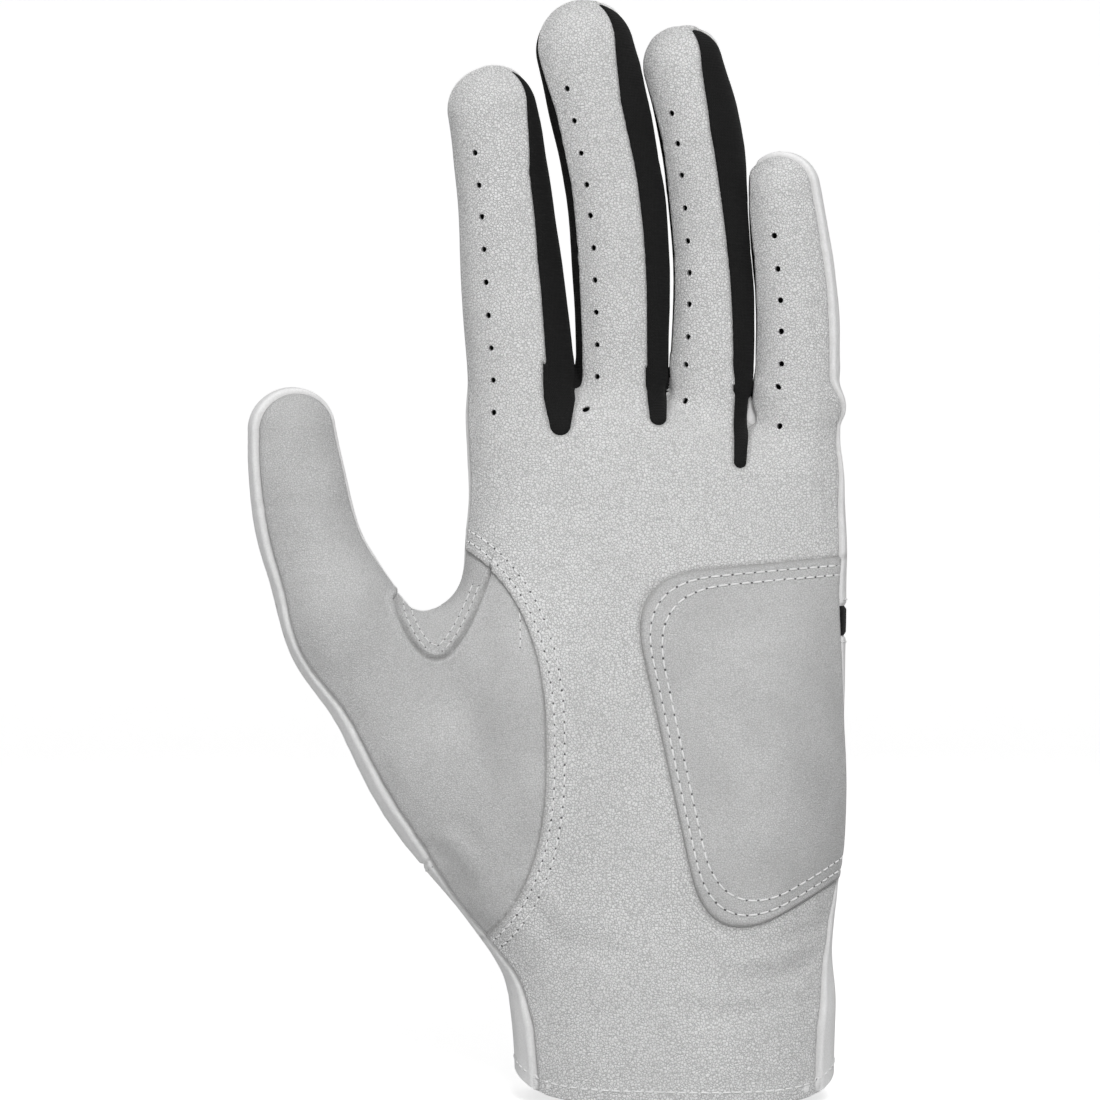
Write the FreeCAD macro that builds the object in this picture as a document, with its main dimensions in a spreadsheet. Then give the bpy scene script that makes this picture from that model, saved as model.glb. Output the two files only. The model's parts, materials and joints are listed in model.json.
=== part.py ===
import FreeCAD, Part
import json
import os
import Sketcher
from FreeCAD import Vector

# A left-hand golf glove, filled out as it is on a hand: fingers up (+Z), palm towards -Y, thumb at -X.
# The origin is the middle of the wrist opening. Every leather panel is a curved shell of one wall
# thickness, and each finger and the thumb is a tapered tube that creases at two lines across its palm side.
# Sizes are in millimetres and degrees. Widths and depths are half-axes of oval sections.

FINGERS = ["index", "middle", "ring", "little"]
DIGITS = FINGERS + ["thumb"]
SEGMENTS = ["proximal", "distal"]
# Which flanks of each digit carry a stretch side strip: -1 is the thumb side, 1 the little-finger side.
STRIP_SIDES = {"index": [1], "middle": [-1, 1], "ring": [-1, 1], "little": [-1], "thumb": []}
SIDE_NAMES = {-1: "inner", 1: "outer"}
HAND_SECTIONS = ["cuff", "wrist", "heel", "palm", "knuckle", "web", "top"]
# A digit's domed tip: how far each section lies below the tip and how wide it is, in shares of the tip's width.
DOME = [(1.0, 1.0), (0.7, 0.954), (0.45, 0.835), (0.25, 0.661), (0.1, 0.436), (0.0, 0.25)]
FAR = 120.0  # half-length of a cutting box, past the whole glove on every side

SIZES = [
    ("wall", 1.2, "leather with its lining"),
    ("seam_gap", 0.16, "clearance between panels that are sewn edge to edge"),
    ("joint_gap", 0.6, "clearance between two segments at a crease"),
    ("flatness", 0.88, "depth of a digit's section over its width"),
    ("seam_angle", 45.0, "angle from a finger's front line to its side-strip seam"),
    ("tip_leather", 3.0, "half-width of the leather over a fingertip, where side strips end"),
    ("side_seam_y", -3.0, "plane of the seam between palm and back"),
    # the hand: height, middle, half-width and half-depth of each section
    ("cuff_z", 0.0, "hem"),
    ("cuff_x", 0.2, ""),
    ("cuff_w", 35.2, ""),
    ("cuff_d", 22.5, ""),
    ("wrist_z", 28.0, "narrow of the wrist"),
    ("wrist_x", -2.1, ""),
    ("wrist_w", 37.2, ""),
    ("wrist_d", 21.5, ""),
    ("heel_z", 58.0, "heel of the hand"),
    ("heel_x", -2.6, ""),
    ("heel_less", 1.4, "narrower than the palm"),
    ("heel_d", 20.0, ""),
    ("palm_z", 90.0, "hollow of the palm"),
    ("palm_x", -3.8, ""),
    ("palm_w", 42.2, ""),
    ("palm_d", 18.5, ""),
    ("knuckle_z", 120.0, "knuckles"),
    ("knuckle_x", -3.8, ""),
    ("knuckle_less", 0.4, ""),
    ("knuckle_d", 16.0, ""),
    ("web_z", 142.0, "just under the webs of the fingers"),
    ("web_x", -3.6, ""),
    ("web_less", 1.2, ""),
    ("web_d", 14.2, ""),
    ("top_z", 150.5, "webs between the fingers"),
    ("top_x", -3.6, ""),
    ("top_less", 2.2, ""),
    ("top_d", 12.0, ""),
    # the digits: place of the base crease, half-widths, lengths to the next crease and to the tip,
    # and how far the palm side is rolled towards the thumb. A finger's gaps are to the finger before it.
    ("index_x", -33.8, "index finger"),
    ("index_z", 161.0, ""),
    ("index_w", 11.4, ""),
    ("index_proximal", 23.0, ""),
    ("index_mid_x", -36.2, ""),
    ("index_mid_w", 10.9, ""),
    ("index_distal", 42.4, ""),
    ("index_tip_shift", -4.1, "tip to the side of the middle crease"),
    ("index_tip_w", 9.6, ""),
    ("index_roll", 0.0, ""),
    ("middle_gap", 1.0, "middle finger"),
    ("middle_z", 161.0, ""),
    ("middle_w", 10.0, ""),
    ("middle_proximal", 25.0, ""),
    ("middle_mid_gap", 2.7, ""),
    ("middle_mid_w", 10.6, ""),
    ("middle_distal", 54.9, ""),
    ("middle_tip_shift", -8.0, ""),
    ("middle_tip_w", 10.4, ""),
    ("middle_roll", -14.0, ""),
    ("ring_gap", 0.8, "ring finger"),
    ("ring_z", 161.0, ""),
    ("ring_w", 8.9, ""),
    ("ring_proximal", 24.0, ""),
    ("ring_mid_gap", 0.9, ""),
    ("ring_mid_w", 8.6, ""),
    ("ring_distal", 50.3, ""),
    ("ring_tip_shift", -6.9, ""),
    ("ring_tip_w", 8.4, ""),
    ("ring_roll", -28.0, ""),
    ("little_gap", 1.0, "little finger"),
    ("little_z", 152.5, ""),
    ("little_w", 9.6, ""),
    ("little_proximal", 20.0, ""),
    ("little_mid_gap", 1.7, ""),
    ("little_mid_w", 9.1, ""),
    ("little_distal", 35.5, ""),
    ("little_tip_shift", -4.1, ""),
    ("little_tip_w", 7.6, ""),
    ("little_roll", -20.0, ""),
    ("thumb_out", 29.0, "thumb: how far out from the palm's edge it lies"),
    ("thumb_z", 107.0, ""),
    ("thumb_w", 13.2, ""),
    ("thumb_proximal", 22.0, ""),
    ("thumb_mid_out", 35.8, ""),
    ("thumb_mid_w", 11.0, ""),
    ("thumb_distal", 27.5, ""),
    ("thumb_tip_shift", -3.4, ""),
    ("thumb_tip_w", 9.8, ""),
    ("thumb_roll", 0.0, ""),
    ("finger_lean", 0.0, "lean of a finger's creases from level"),
    ("thumb_lean", -12.0, "lean of the thumb's creases from level"),
    ("curl_mid", -1.5, "how far the middle creases lie in front of the base"),
    ("curl_tip", -5.0, "how far the tips lie in front of the base"),
    ("finger_root", 20.0, "depth of a finger's root inside the hand"),
    ("root_share", 0.72, "width of that root over the width at the base crease"),
    ("thumb_ball_out", 10.0, "middle of the ball of the thumb"),
    ("thumb_ball_z", 78.0, ""),
    ("thumb_ball_w", 16.0, ""),
    ("thumb_ball_lean", -22.0, ""),
    ("thumb_heel_in", 11.4, "lowest end of that ball, from the heel's edge"),
    ("thumb_heel_z", 46.0, ""),
    ("thumb_heel_w", 11.5, ""),
    ("thumb_heel_lean", -35.0, ""),
    ("thumb_heel_y", -3.0, ""),
    # seams, bands and patches on the hand
    ("thenar_out", 33.0, "middle of the arc that the thumb panel is cut to"),
    ("thenar_z", 80.0, ""),
    ("thenar_r", 56.0, "radius of that arc on the palm"),
    ("thumb_back_r", 37.0, "radius of the thumb panel's arc on the back"),
    ("web_1_shift", -3.4, "strip between index and middle finger, towards the thumb"),
    ("web_1_w", 3.6, ""),
    ("web_1_z", 145.5, ""),
    ("web_2_shift", -2.4, "strip between middle and ring finger"),
    ("web_2_w", 2.6, ""),
    ("web_2_z", 148.3, ""),
    ("web_3_shift", -2.1, "strip between ring and little finger"),
    ("web_3_w", 2.5, ""),
    ("web_3_z", 138.0, ""),
    ("band_z", 101.0, "lower edge of the stretch band across the back"),
    ("band_height", 6.6, ""),
    ("binding_height", 4.4, "tape folded over the hem and the slit"),
    ("binding", 0.8, "thickness of that tape, on each face of the leather"),
    ("facing_height", 13.6, "inner band of the cuff"),
    ("facing", 0.8, "its thickness"),
    ("elastic_z", 22.0, "lower edge of the elastic sewn inside the wrist"),
    ("elastic_height", 10.0, ""),
    ("elastic", 1.0, ""),
    ("elastic_y", -8.0, "the elastic lies in front of this plane"),
    ("slit_x", -8.0, "slit at the back of the wrist"),
    ("slit_w", 2.5, ""),
    ("slit_top", 50.0, ""),
    ("tape_w", 2.6, "width of the tape along the slit"),
    ("layer_gap", 0.1, "clearance between stacked layers"),
    ("loop", 1.0, "thickness of the loop pad"),
    ("hook", 0.8, "thickness of the hook pad"),
    ("tab", 1.2, "thickness of the closure tab"),
    ("emblem", 0.5, "thickness of the plain pad on the tab"),
    ("tab_root_x", -18.0, "where the tab folds"),
    ("tab_end_x", 29.0, "free end of the tab"),
    ("tab_z", 13.0, "lower edge of the tab"),
    ("tab_height", 28.0, ""),
    ("tab_corner", 10.0, "radius of its free corners"),
    ("anchor_w", 9.0, "width of the sewn end of the tab"),
    ("pad_inset", 2.5, "how far the hook pad lies inside the tab"),
    ("hook_x", 4.0, "near end of the hook pad"),
    ("loop_inset", 1.0, "how far the loop pad lies inside the tab"),
    ("loop_margin", 1.5, "how far the loop pad shows past the hook pad"),
    ("emblem_x", 9.0, "near end of the plain pad"),
    ("emblem_inset", 7.0, "how far that pad lies inside the tab"),
    ("patch", 0.8, "thickness of the heel patch"),
    ("patch_top", 119.0, "corners of the heel patch"),
    ("patch_inner_x", -10.5, ""),
    ("patch_inner_z", 116.5, ""),
    ("patch_low_x", 16.5, ""),
    ("patch_low_z", 31.5, ""),
    ("patch_side_z", 48.0, ""),
    ("patch_corner", 15.0, "radius of its corners"),
    ("patch_overrun", 10.0, "how far its outline runs past the side seam, where it is cut off"),
    ("label_x", 10.0, "blank size label inside the wrist"),
    ("label_z", 24.0, ""),
    ("label_w", 15.0, ""),
    ("label_height", 12.0, ""),
    ("label", 0.4, ""),
]

doc = FreeCAD.newDocument("golf_glove")
sizes = doc.addObject("Spreadsheet::Sheet", "sizes")
for number, (alias, value, note) in enumerate(SIZES, start=1):
    sizes.set(f"A{number}", note or alias)
    sizes.set(f"B{number}", str(value))
    sizes.setAlias(f"B{number}", alias)
doc.recompute()

pieces = []


def size(alias):
    """The value of one cell."""
    return getattr(sizes, alias)


def feature(kind, label, expressions=None, **settings):
    """A document object with its settings, and its sizes bound to the sheet."""
    made = doc.addObject(kind, label)
    made.Label = label
    for name, value in settings.items():
        setattr(made, name, value)
    for name, expression in (expressions or {}).items():
        made.setExpression(name, expression)
    return made


def piece(made):
    """Marks an object as one of the glove's own parts."""
    pieces.append(made)
    return made


def at(x, y, z, turn="rotationz(0)"):
    """The expression of a placement."""
    return f"placement(vector({x}; {y}; {z}); {turn})"


def box(label, low, high, frame=None):
    """A box between two corners, each three expressions, in a frame given by its own expression."""
    placed = at(*low) if frame is None else f"{frame} * {at(*low)}"
    spans = [f"({high[k]}) - ({low[k]})" for k in range(3)]
    return feature(
        "Part::Box",
        label,
        {"Placement": placed, "Length": spans[0], "Width": spans[1], "Height": spans[2]},
    )


def both(label, *shapes):
    """What several shapes have in common."""
    return feature("Part::MultiCommon", label, Shapes=list(shapes))


def joined(label, *shapes):
    return feature("Part::MultiFuse", label, Shapes=list(shapes))


def less(label, base, *tools):
    """A shape with others cut away from it."""
    tool = tools[0] if len(tools) == 1 else joined(f"{label}_cutters", *tools)
    return feature("Part::Cut", label, Base=base, Tool=tool)


def oval(label, x, y, z, width, depth, lean="0"):
    """One level oval section, leaned about Y."""
    return feature(
        "Part::Ellipse",
        label,
        {
            "MajorRadius": width,
            "MinorRadius": depth,
            "Placement": at(x, y, z, f"rotationy({lean})"),
        },
    )


def loft(label, sections):
    return feature("Part::Loft", label, Sections=sections, Solid=True, Ruled=True)


# ---------------------------------------------------------------- the hand


def half_width(section):
    """Half of a section's width: above the wrist it goes with the palm's."""
    if section in ("palm", "wrist", "cuff"):
        return f"sizes.{section}_w"
    return f"(sizes.palm_w - sizes.{section}_less)"


def hand_skin(label, offset):
    """The solid inside the hand's surface, grown by an offset."""
    sections = []
    for name in HAND_SECTIONS:
        low = " - 1" if name == "cuff" and offset.startswith("-") else ""
        high = " + " + offset if name == "top" else ""
        sections.append(
            oval(
                f"{label}_{name}",
                f"sizes.{name}_x",
                "0",
                f"sizes.{name}_z{low}{high}",
                f"{half_width(name)} + {offset}",
                f"sizes.{name}_d + {offset}",
            )
        )
    return loft(label, sections)


# ---------------------------------------------------------------- the digits


PALM_EDGE = "(sizes.palm_x - sizes.palm_w)"
HEEL_EDGE = "(sizes.heel_x - sizes.palm_w + sizes.heel_less)"


def across(digit, place=""):
    """The x of a digit at its base, middle or tip: each finger stands beside the one before it."""
    if place == "_tip":
        return f"({across(digit, '_mid')} + sizes.{digit}_tip_shift)"
    if digit == "index":
        return f"sizes.index{place}_x"
    if digit == "thumb":
        return f"({PALM_EDGE} - sizes.thumb{place}_out)"
    before = FINGERS[FINGERS.index(digit) - 1]
    half_widths = f"sizes.{before}{place}_w + sizes.{digit}{place}_w"
    return f"({across(before, place)} + {half_widths} + sizes.{digit}{place}_gap)"


def lean_of(digit):
    return "sizes.thumb_lean" if digit == "thumb" else "sizes.finger_lean"


def digit_solid(digit, label, inset):
    """A digit's tapered tube with a domed tip, or the space inside it when inset is the wall."""
    d = f"sizes.{digit}"
    mid_z = f"{d}_z + {d}_proximal"
    lean = lean_of(digit)
    stations = []
    if digit == "thumb":
        inside = {"heel": f"{HEEL_EDGE} + sizes.thumb_heel_in", "ball": f"{PALM_EDGE} - sizes.thumb_ball_out"}
        for name, x in inside.items():
            stations.append((x, f"{d}_heel_y", f"{d}_{name}_z", f"{d}_{name}_w", f"{d}_{name}_lean"))
    else:
        stations.append((across(digit), "0", f"{d}_z - sizes.finger_root", f"{d}_w * sizes.root_share", lean))
    mid_x, tip_x = across(digit, "_mid"), across(digit, "_tip")
    stations.append((across(digit), "0", f"{d}_z", f"{d}_w", lean))
    stations.append((mid_x, "sizes.curl_mid", mid_z, f"{d}_mid_w", lean))
    for drop, share in DOME:
        along = f"(1 - {drop} * {d}_tip_w / {d}_distal)"
        stations.append(
            (
                f"{mid_x} + ({tip_x} - {mid_x}) * {along}",
                f"sizes.curl_mid + (sizes.curl_tip - sizes.curl_mid) * {along}",
                f"{mid_z} + {d}_distal * {along} - {inset}",
                f"{d}_tip_w * {share}",
                lean,
            )
        )
    sections = []
    for number, (x, y, z, width, tilt) in enumerate(stations):
        depth = f"({width}) * sizes.flatness - {inset}"
        sections.append(oval(f"{label}_{number}", x, y, z, f"{width} - {inset}", depth, tilt))
    return loft(label, sections)


def crease_frame(digit, segment):
    """The frame of a segment's lower crease: its middle, leaned as the digit's creases are."""
    d = f"sizes.{digit}"
    turn = f"rotationy({lean_of(digit)})"
    if segment == "proximal":
        return at(across(digit), "0", f"{d}_z", turn)
    return at(across(digit, "_mid"), "sizes.curl_mid", f"{d}_z + {d}_proximal", turn)


def above(digit, segment, label, gap):
    """A box that holds everything past a crease, less a clearance."""
    low = (f"-{FAR}", f"-{FAR}", gap)
    return box(label, low, (FAR, FAR, 2 * FAR), crease_frame(digit, segment))


def run_frame(digit, segment):
    """A frame at a segment's lower crease whose Z runs along the segment and whose -Y faces the palm side."""
    d = f"sizes.{digit}"
    roll = f"rotationz({d}_roll)"
    base_x, mid_x, tip_x = (across(digit, place) for place in ("", "_mid", "_tip"))
    if segment == "proximal":
        start = (base_x, "0", f"{d}_z")
        rise, side, front = f"{d}_proximal", f"({mid_x} - {base_x})", "(-sizes.curl_mid)"
    else:
        start = (mid_x, "sizes.curl_mid", f"{d}_z + {d}_proximal")
        rise, side = f"{d}_distal", f"({tip_x} - {mid_x})"
        front = "(sizes.curl_mid - sizes.curl_tip)"
    turn = f"rotationy(atan({side} / {rise})) * rotationx(atan({front} / {rise})) * {roll}"
    return at(*start, turn)


def digit_panels(digit, segment, shell):
    """A segment's front and back leather and its side strips."""
    d = f"sizes.{digit}"
    name = f"{digit}_{segment}"
    frame = run_frame(digit, segment)
    width = f"{d}_mid_w"
    seam_y = f"{width} * sizes.flatness * cos(sizes.seam_angle)"
    strips = []
    for side in STRIP_SIDES[digit]:
        for grown, gap in (("", "0"), ("_room", "sizes.seam_gap")):
            inner = f"(sizes.tip_leather - {gap})"
            spans = sorted([side * FAR, 0.0])
            low_x = inner if side > 0 else f"-{FAR}"
            high_x = f"{spans[1]}" if side > 0 else f"-{inner}"
            label = f"{name}_{SIDE_NAMES[side]}_region{grown}"
            low = (low_x, f"-({seam_y}) - {gap}", f"-{FAR}")
            high = (high_x, f"{seam_y} + {gap}", f"{FAR}")
            strips.append((side, grown, box(label, low, high, frame)))
    rooms = [region for side, grown, region in strips if grown]
    for side, grown, region in strips:
        if not grown:
            piece(both(f"{name}_{SIDE_NAMES[side]}_strip", shell, region))
    half_gap = "sizes.seam_gap / 2"
    front = box(f"{name}_front_half", (-FAR, -FAR, -FAR), (FAR, f"-{half_gap}", FAR), frame)
    back = box(f"{name}_back_half", (-FAR, half_gap, -FAR), (FAR, FAR, FAR), frame)
    for face, half in (("front", front), ("back", back)):
        region = less(f"{name}_{face}_region", half, *rooms) if rooms else half
        piece(both(f"{name}_{face}", shell, region))


half_joint = "sizes.joint_gap / 2"
roots = []
cavities = []
for digit in DIGITS:
    outer = digit_solid(digit, f"{digit}_outer", "0")
    inner = digit_solid(digit, f"{digit}_inner", "sizes.wall")
    shell = less(f"{digit}_shell", outer, inner)
    past_base = above(digit, "proximal", f"{digit}_past_base", half_joint)
    past_mid = above(digit, "distal", f"{digit}_past_mid", half_joint)
    from_base = above(digit, "proximal", f"{digit}_from_base", f"-{half_joint}")
    from_mid = above(digit, "distal", f"{digit}_from_mid", f"-{half_joint}")
    roots.append(less(f"{digit}_root", outer, from_base))
    cavities.append(inner)
    above_base = both(f"{digit}_above_base", shell, past_base)
    digit_panels(digit, "proximal", less(f"{digit}_proximal_shell", above_base, from_mid))
    digit_panels(digit, "distal", both(f"{digit}_distal_shell", shell, past_mid))

# ---------------------------------------------------------------- the hand's panels

hand_outer = joined("hand_outer", hand_skin("hand_skin", "0"), *roots)
hand_inner = joined("hand_inner", hand_skin("hand_lining", "-sizes.wall"), *cavities)
hand_shell = less("hand_shell", hand_outer, hand_inner)

cuff_top = "sizes.binding_height"
gap = "sizes.seam_gap"
above_cuff = box("above_cuff", (-FAR, -FAR, f"{cuff_top} + {gap}"), (FAR, FAR, 2 * FAR))
hand_wall = both("hand_wall", hand_shell, above_cuff)

palm_half = box("palm_half", (-FAR, -FAR, -FAR), (FAR, f"sizes.side_seam_y - {gap} / 2", 2 * FAR))
back_half = box("back_half", (-FAR, f"sizes.side_seam_y + {gap} / 2", -FAR), (FAR, FAR, 2 * FAR))


def round_bar(label, x, z, radius, length=2 * FAR):
    """A cylinder along Y."""
    turn = "rotationx(-90)"
    return feature(
        "Part::Cylinder",
        label,
        {"Radius": radius, "Placement": at(x, -length / 2, z, turn)},
        Height=length,
    )


def slot_region(label, x, half_width, low, high, rounded):
    """A strip with one round end, through the glove along Y."""
    centre = f"{low} + {half_width}" if rounded == "low" else f"{high} - {half_width}"
    ends = (centre, high) if rounded == "low" else (low, centre)
    straight = box(
        f"{label}_straight",
        (f"{x} - ({half_width})", -FAR, ends[0]),
        (f"{x} + {half_width}", FAR, ends[1]),
    )
    return joined(label, straight, round_bar(f"{label}_end", x, centre, half_width))


# the three stretch webs between the fingers, each with a round lower end
web_rooms = []
web_names = ["web_index_middle", "web_middle_ring", "web_ring_little"]
for number, name in enumerate(web_names, start=1):
    web = f"sizes.web_{number}"
    finger = FINGERS[number]
    between = f"{across(finger)} - sizes.{finger}_w - sizes.{finger}_gap / 2"
    for label, grow in ((f"{name}_region", "0"), (f"{name}_room", gap)):
        region = slot_region(
            label,
            f"({between} + {web}_shift)",
            f"({web}_w + {grow})",
            f"{web}_z - {grow}",
            2 * FAR,
            "low",
        )
        if grow == "0":
            piece(both(name, hand_wall, region))
        else:
            web_rooms.append(region)

# the slit at the back of the wrist, with its tape
slit = slot_region("slit", "sizes.slit_x", "sizes.slit_w", -FAR, "sizes.slit_top", "high")
tape_half = "(sizes.slit_w + sizes.tape_w)"
tape_top = "sizes.slit_top + sizes.tape_w"
slit_tape = slot_region("slit_tape", "sizes.slit_x", tape_half, -FAR, tape_top, "high")
tape_room_half = f"(sizes.slit_w + sizes.tape_w + {gap})"
tape_room = slot_region("tape_room", "sizes.slit_x", tape_room_half, -FAR, f"{tape_top} + {gap}", "high")

bound = "sizes.binding"
tape_shell = less(
    "tape_shell",
    hand_skin("tape_outside", bound),
    hand_skin("tape_inside", f"-(sizes.wall + {bound})"),
)
back_of_tape = box("back_of_tape", (-FAR, "0", f"{cuff_top} + {gap}"), (FAR, FAR, FAR))
piece(less("slit_binding", both("slit_tape_wall", tape_shell, slit_tape, back_of_tape), slit))
hem_zone = box("hem_zone", (-FAR, -FAR, "0"), (FAR, FAR, cuff_top))
back_slit_cut = both("back_slit_cut", slit, back_half)
piece(less("cuff_binding", both("hem_wall", tape_shell, hem_zone), back_slit_cut))

# the thumb's leather, cut to one arc on the palm and to a smaller one on the back
thenar = (f"{PALM_EDGE} - sizes.thenar_out", "sizes.thenar_z")
palm_arc = round_bar("palm_arc", *thenar, "sizes.thenar_r")
palm_arc_room = round_bar("palm_arc_room", *thenar, f"sizes.thenar_r + {gap}")
back_arc = round_bar("back_arc", *thenar, "sizes.thumb_back_r")
back_arc_room = round_bar("back_arc_room", *thenar, f"sizes.thumb_back_r + {gap}")
palm_wall = both("palm_wall", hand_wall, palm_half)
back_wall = both("back_wall", hand_wall, back_half)
piece(both("thenar_panel", palm_wall, palm_arc))
piece(less("palm_panel", palm_wall, palm_arc_room, *web_rooms))
piece(both("thumb_back_root", back_wall, back_arc))

# the back: an upper and a lower panel with the stretch band between them
band_top = "sizes.band_z + sizes.band_height"
back_zones = [
    ("back_panel_upper", f"{band_top} + {gap}", 2 * FAR, [back_arc_room, *web_rooms]),
    ("knuckle_band", "sizes.band_z", band_top, [back_arc_room]),
    ("back_panel_lower", -FAR, f"sizes.band_z - {gap}", [back_arc_room, tape_room]),
]
for name, low, high, rooms in back_zones:
    zone = box(f"{name}_zone", (-FAR, -FAR, low), (FAR, FAR, high))
    ring = both(f"{name}_ring", hand_wall, zone)
    piece(less(name, both(f"{name}_half", ring, back_half), *rooms))

# ---------------------------------------------------------------- layers on and under the leather


def layer(label, inside, outside):
    """A shell that follows the hand's surface between two offsets."""
    return less(f"{label}_layer", hand_skin(f"{label}_far", outside), hand_skin(f"{label}_near", inside))


lining = f"-(sizes.wall + {gap}"
facing = layer("facing", f"{lining} + sizes.facing)", f"{lining})")
facing_top = f"{cuff_top} + {gap} + sizes.facing_height"
facing_zone = box("facing_zone", (-FAR, -FAR, f"{cuff_top} + {gap}"), (FAR, FAR, facing_top))
tape_at_back = both("tape_at_back", tape_room, back_half)
piece(less("cuff_facing", both("facing_ring", facing, facing_zone), tape_at_back))

elastic = layer("elastic", f"{lining} + sizes.elastic)", f"{lining})")
elastic_top = "sizes.elastic_z + sizes.elastic_height"
elastic_zone = box("elastic_zone", (-FAR, -FAR, "sizes.elastic_z"), (FAR, "sizes.elastic_y", elastic_top))
piece(both("wrist_elastic", elastic, elastic_zone))

label_layer = layer("label", f"{lining} + sizes.label)", f"{lining})")
label_far = ("sizes.label_x + sizes.label_w", FAR, "sizes.label_z + sizes.label_height")
label_zone = box("label_zone", ("sizes.label_x", "0", "sizes.label_z"), label_far)
piece(both("size_label", label_layer, label_zone))


def fillet_along_y(label, base, radius, low_x, high_x):
    """Rounds those edges along Y that lie between two places in X."""
    base.recompute(True)
    picked = []
    for number, edge in enumerate(base.Shape.Edges, start=1):
        ends = [vertex.Point for vertex in edge.Vertexes]
        along_y = abs(ends[0].y - ends[-1].y) > 1
        if along_y and low_x < ends[0].x < high_x:
            picked.append((number, radius, radius))
    return feature("Part::Fillet", label, Base=base, Edges=picked)


# the heel patch, sewn on the palm
patch = layer("patch", "sizes.layer_gap", "(sizes.layer_gap + sizes.patch)")
patch_corners = [
    ("sizes.patch_inner_x", "sizes.patch_inner_z"),
    ("sizes.patch_low_x", "sizes.patch_low_z"),
    ("sizes.palm_w + sizes.patch_overrun", "sizes.patch_side_z"),
    ("sizes.palm_w + sizes.patch_overrun", "sizes.patch_top"),
]
sketch = doc.addObject("Sketcher::SketchObject", "patch_sketch")
sketch.Placement = FreeCAD.Placement(Vector(0, 0, 0), FreeCAD.Rotation(Vector(1, 0, 0), 90))
# a first four-sided outline, which the constraints then move to its corners
rough = [Vector(0, 100, 0), Vector(20, 30, 0), Vector(50, 45, 0), Vector(50, 120, 0)]
for k in range(4):
    sketch.addGeometry(Part.LineSegment(rough[k], rough[(k + 1) % 4]))
for k in range(4):
    sketch.addConstraint(Sketcher.Constraint("Coincident", k, 2, (k + 1) % 4, 1))
for k, corner in enumerate(patch_corners):
    for kind, value in zip(("DistanceX", "DistanceY"), corner):
        number = sketch.addConstraint(Sketcher.Constraint(kind, -1, 1, k, 1, 10.0))
        sketch.setExpression(f"Constraints[{number}]", value)
patch_plate = feature("Part::Extrusion", "patch_plate", Base=sketch, DirMode="Custom", Solid=True)
patch_plate.Dir = Vector(0, -1, 0)
patch_plate.LengthFwd = FAR
rounding = size("patch_corner")
patch_outline = fillet_along_y("patch_outline", patch_plate, rounding, -FAR, size("palm_w"))
patch_front = box("patch_front", (-FAR, -FAR, -FAR), (FAR, "sizes.side_seam_y", 2 * FAR))
piece(both("heel_patch", patch, patch_outline, patch_front))

# the closure: loop pad on the back panel, then hook pad, tab and a plain pad stacked over it
tab_top = "sizes.tab_z + sizes.tab_height"
over_loop = "(2 * sizes.layer_gap + sizes.loop)"
over_hook = f"({over_loop} + sizes.hook + sizes.layer_gap)"
over_tab = f"({over_hook} + sizes.tab)"
tab_start = f"(sizes.tab_root_x + {half_joint})"


def closure_piece(name, inside, outside, x0, x1, inset=None, rounded_past=None):
    """One layer of the closure: the tab's height less an inset, with the corners past a place in X rounded."""
    margin = f"sizes.{inset}" if inset else "0"
    low = (x0, "0", f"sizes.tab_z + {margin}")
    plate = box(f"{name}_plate", low, (x1, FAR, f"{tab_top} - {margin}"))
    if rounded_past is not None:
        radius = size("tab_corner") - (size(inset) if inset else 0)
        plate = fillet_along_y(f"{name}_outline", plate, radius, rounded_past, FAR)
    return piece(both(name, layer(name, inside, outside), plate))


pad_end = "sizes.tab_end_x - sizes.pad_inset"
hook_out = f"({over_loop} + sizes.hook)"
loop_out = "(sizes.layer_gap + sizes.loop)"
emblem_in = f"({over_tab} + sizes.layer_gap)"
emblem_out = f"({emblem_in} + sizes.emblem)"
emblem_end = "sizes.tab_end_x - sizes.emblem_inset"
anchor_end = f"(sizes.tab_root_x - {half_joint})"
loop_ends = ("sizes.hook_x - sizes.loop_margin", f"{pad_end} + sizes.loop_margin")
closure_piece("loop_patch", "sizes.layer_gap", loop_out, *loop_ends, "loop_inset", 0)
closure_piece("hook_patch", over_loop, hook_out, "sizes.hook_x", pad_end, "pad_inset", size("hook_x") + 1)
closure_piece("closure_tab", over_hook, over_tab, tab_start, "sizes.tab_end_x", rounded_past=0)
closure_piece("tab_emblem", emblem_in, emblem_out, "sizes.emblem_x", emblem_end, "emblem_inset", 0)
anchor_start = f"{anchor_end} - sizes.anchor_w"
closure_piece("tab_anchor", "sizes.layer_gap", over_tab, anchor_start, anchor_end)

# ---------------------------------------------------------------- build, check and write

doc.recompute()
for made in doc.Objects:
    if "Invalid" in made.State or "Error" in made.State:
        raise RuntimeError(f"{made.Label} failed: {made.State}")
for made in pieces:
    if made.Shape.isNull() or not made.Shape.isValid() or not made.Shape.Solids:
        raise RuntimeError(f"{made.Label} has no sound shape")

os.makedirs("parts", exist_ok=True)
for made in pieces:
    made.Shape.exportStep(f"parts/{made.Label}.step")
    print(f"{made.Label}: {len(made.Shape.Solids)} solids, {made.Shape.Volume:.0f} mm3")

# where the glove creases: the middle of each crease, on the palm side of the digit
creases = {}
for digit in DIGITS:
    lean = size("thumb_lean" if digit == "thumb" else "finger_lean")
    flat = size("flatness")
    base_z = size(f"{digit}_z")
    base_x, mid_x = (hand_wall.evalExpression(across(digit, place)) for place in ("", "_mid"))
    creases[f"{digit}_base"] = [base_x, -size(f"{digit}_w") * flat, base_z, lean]
    mid_y = size("curl_mid") - size(f"{digit}_mid_w") * flat
    mid_z = base_z + size(f"{digit}_proximal")
    creases[f"{digit}_mid"] = [mid_x, mid_y, mid_z, lean]
print("creases " + json.dumps(creases))
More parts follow.
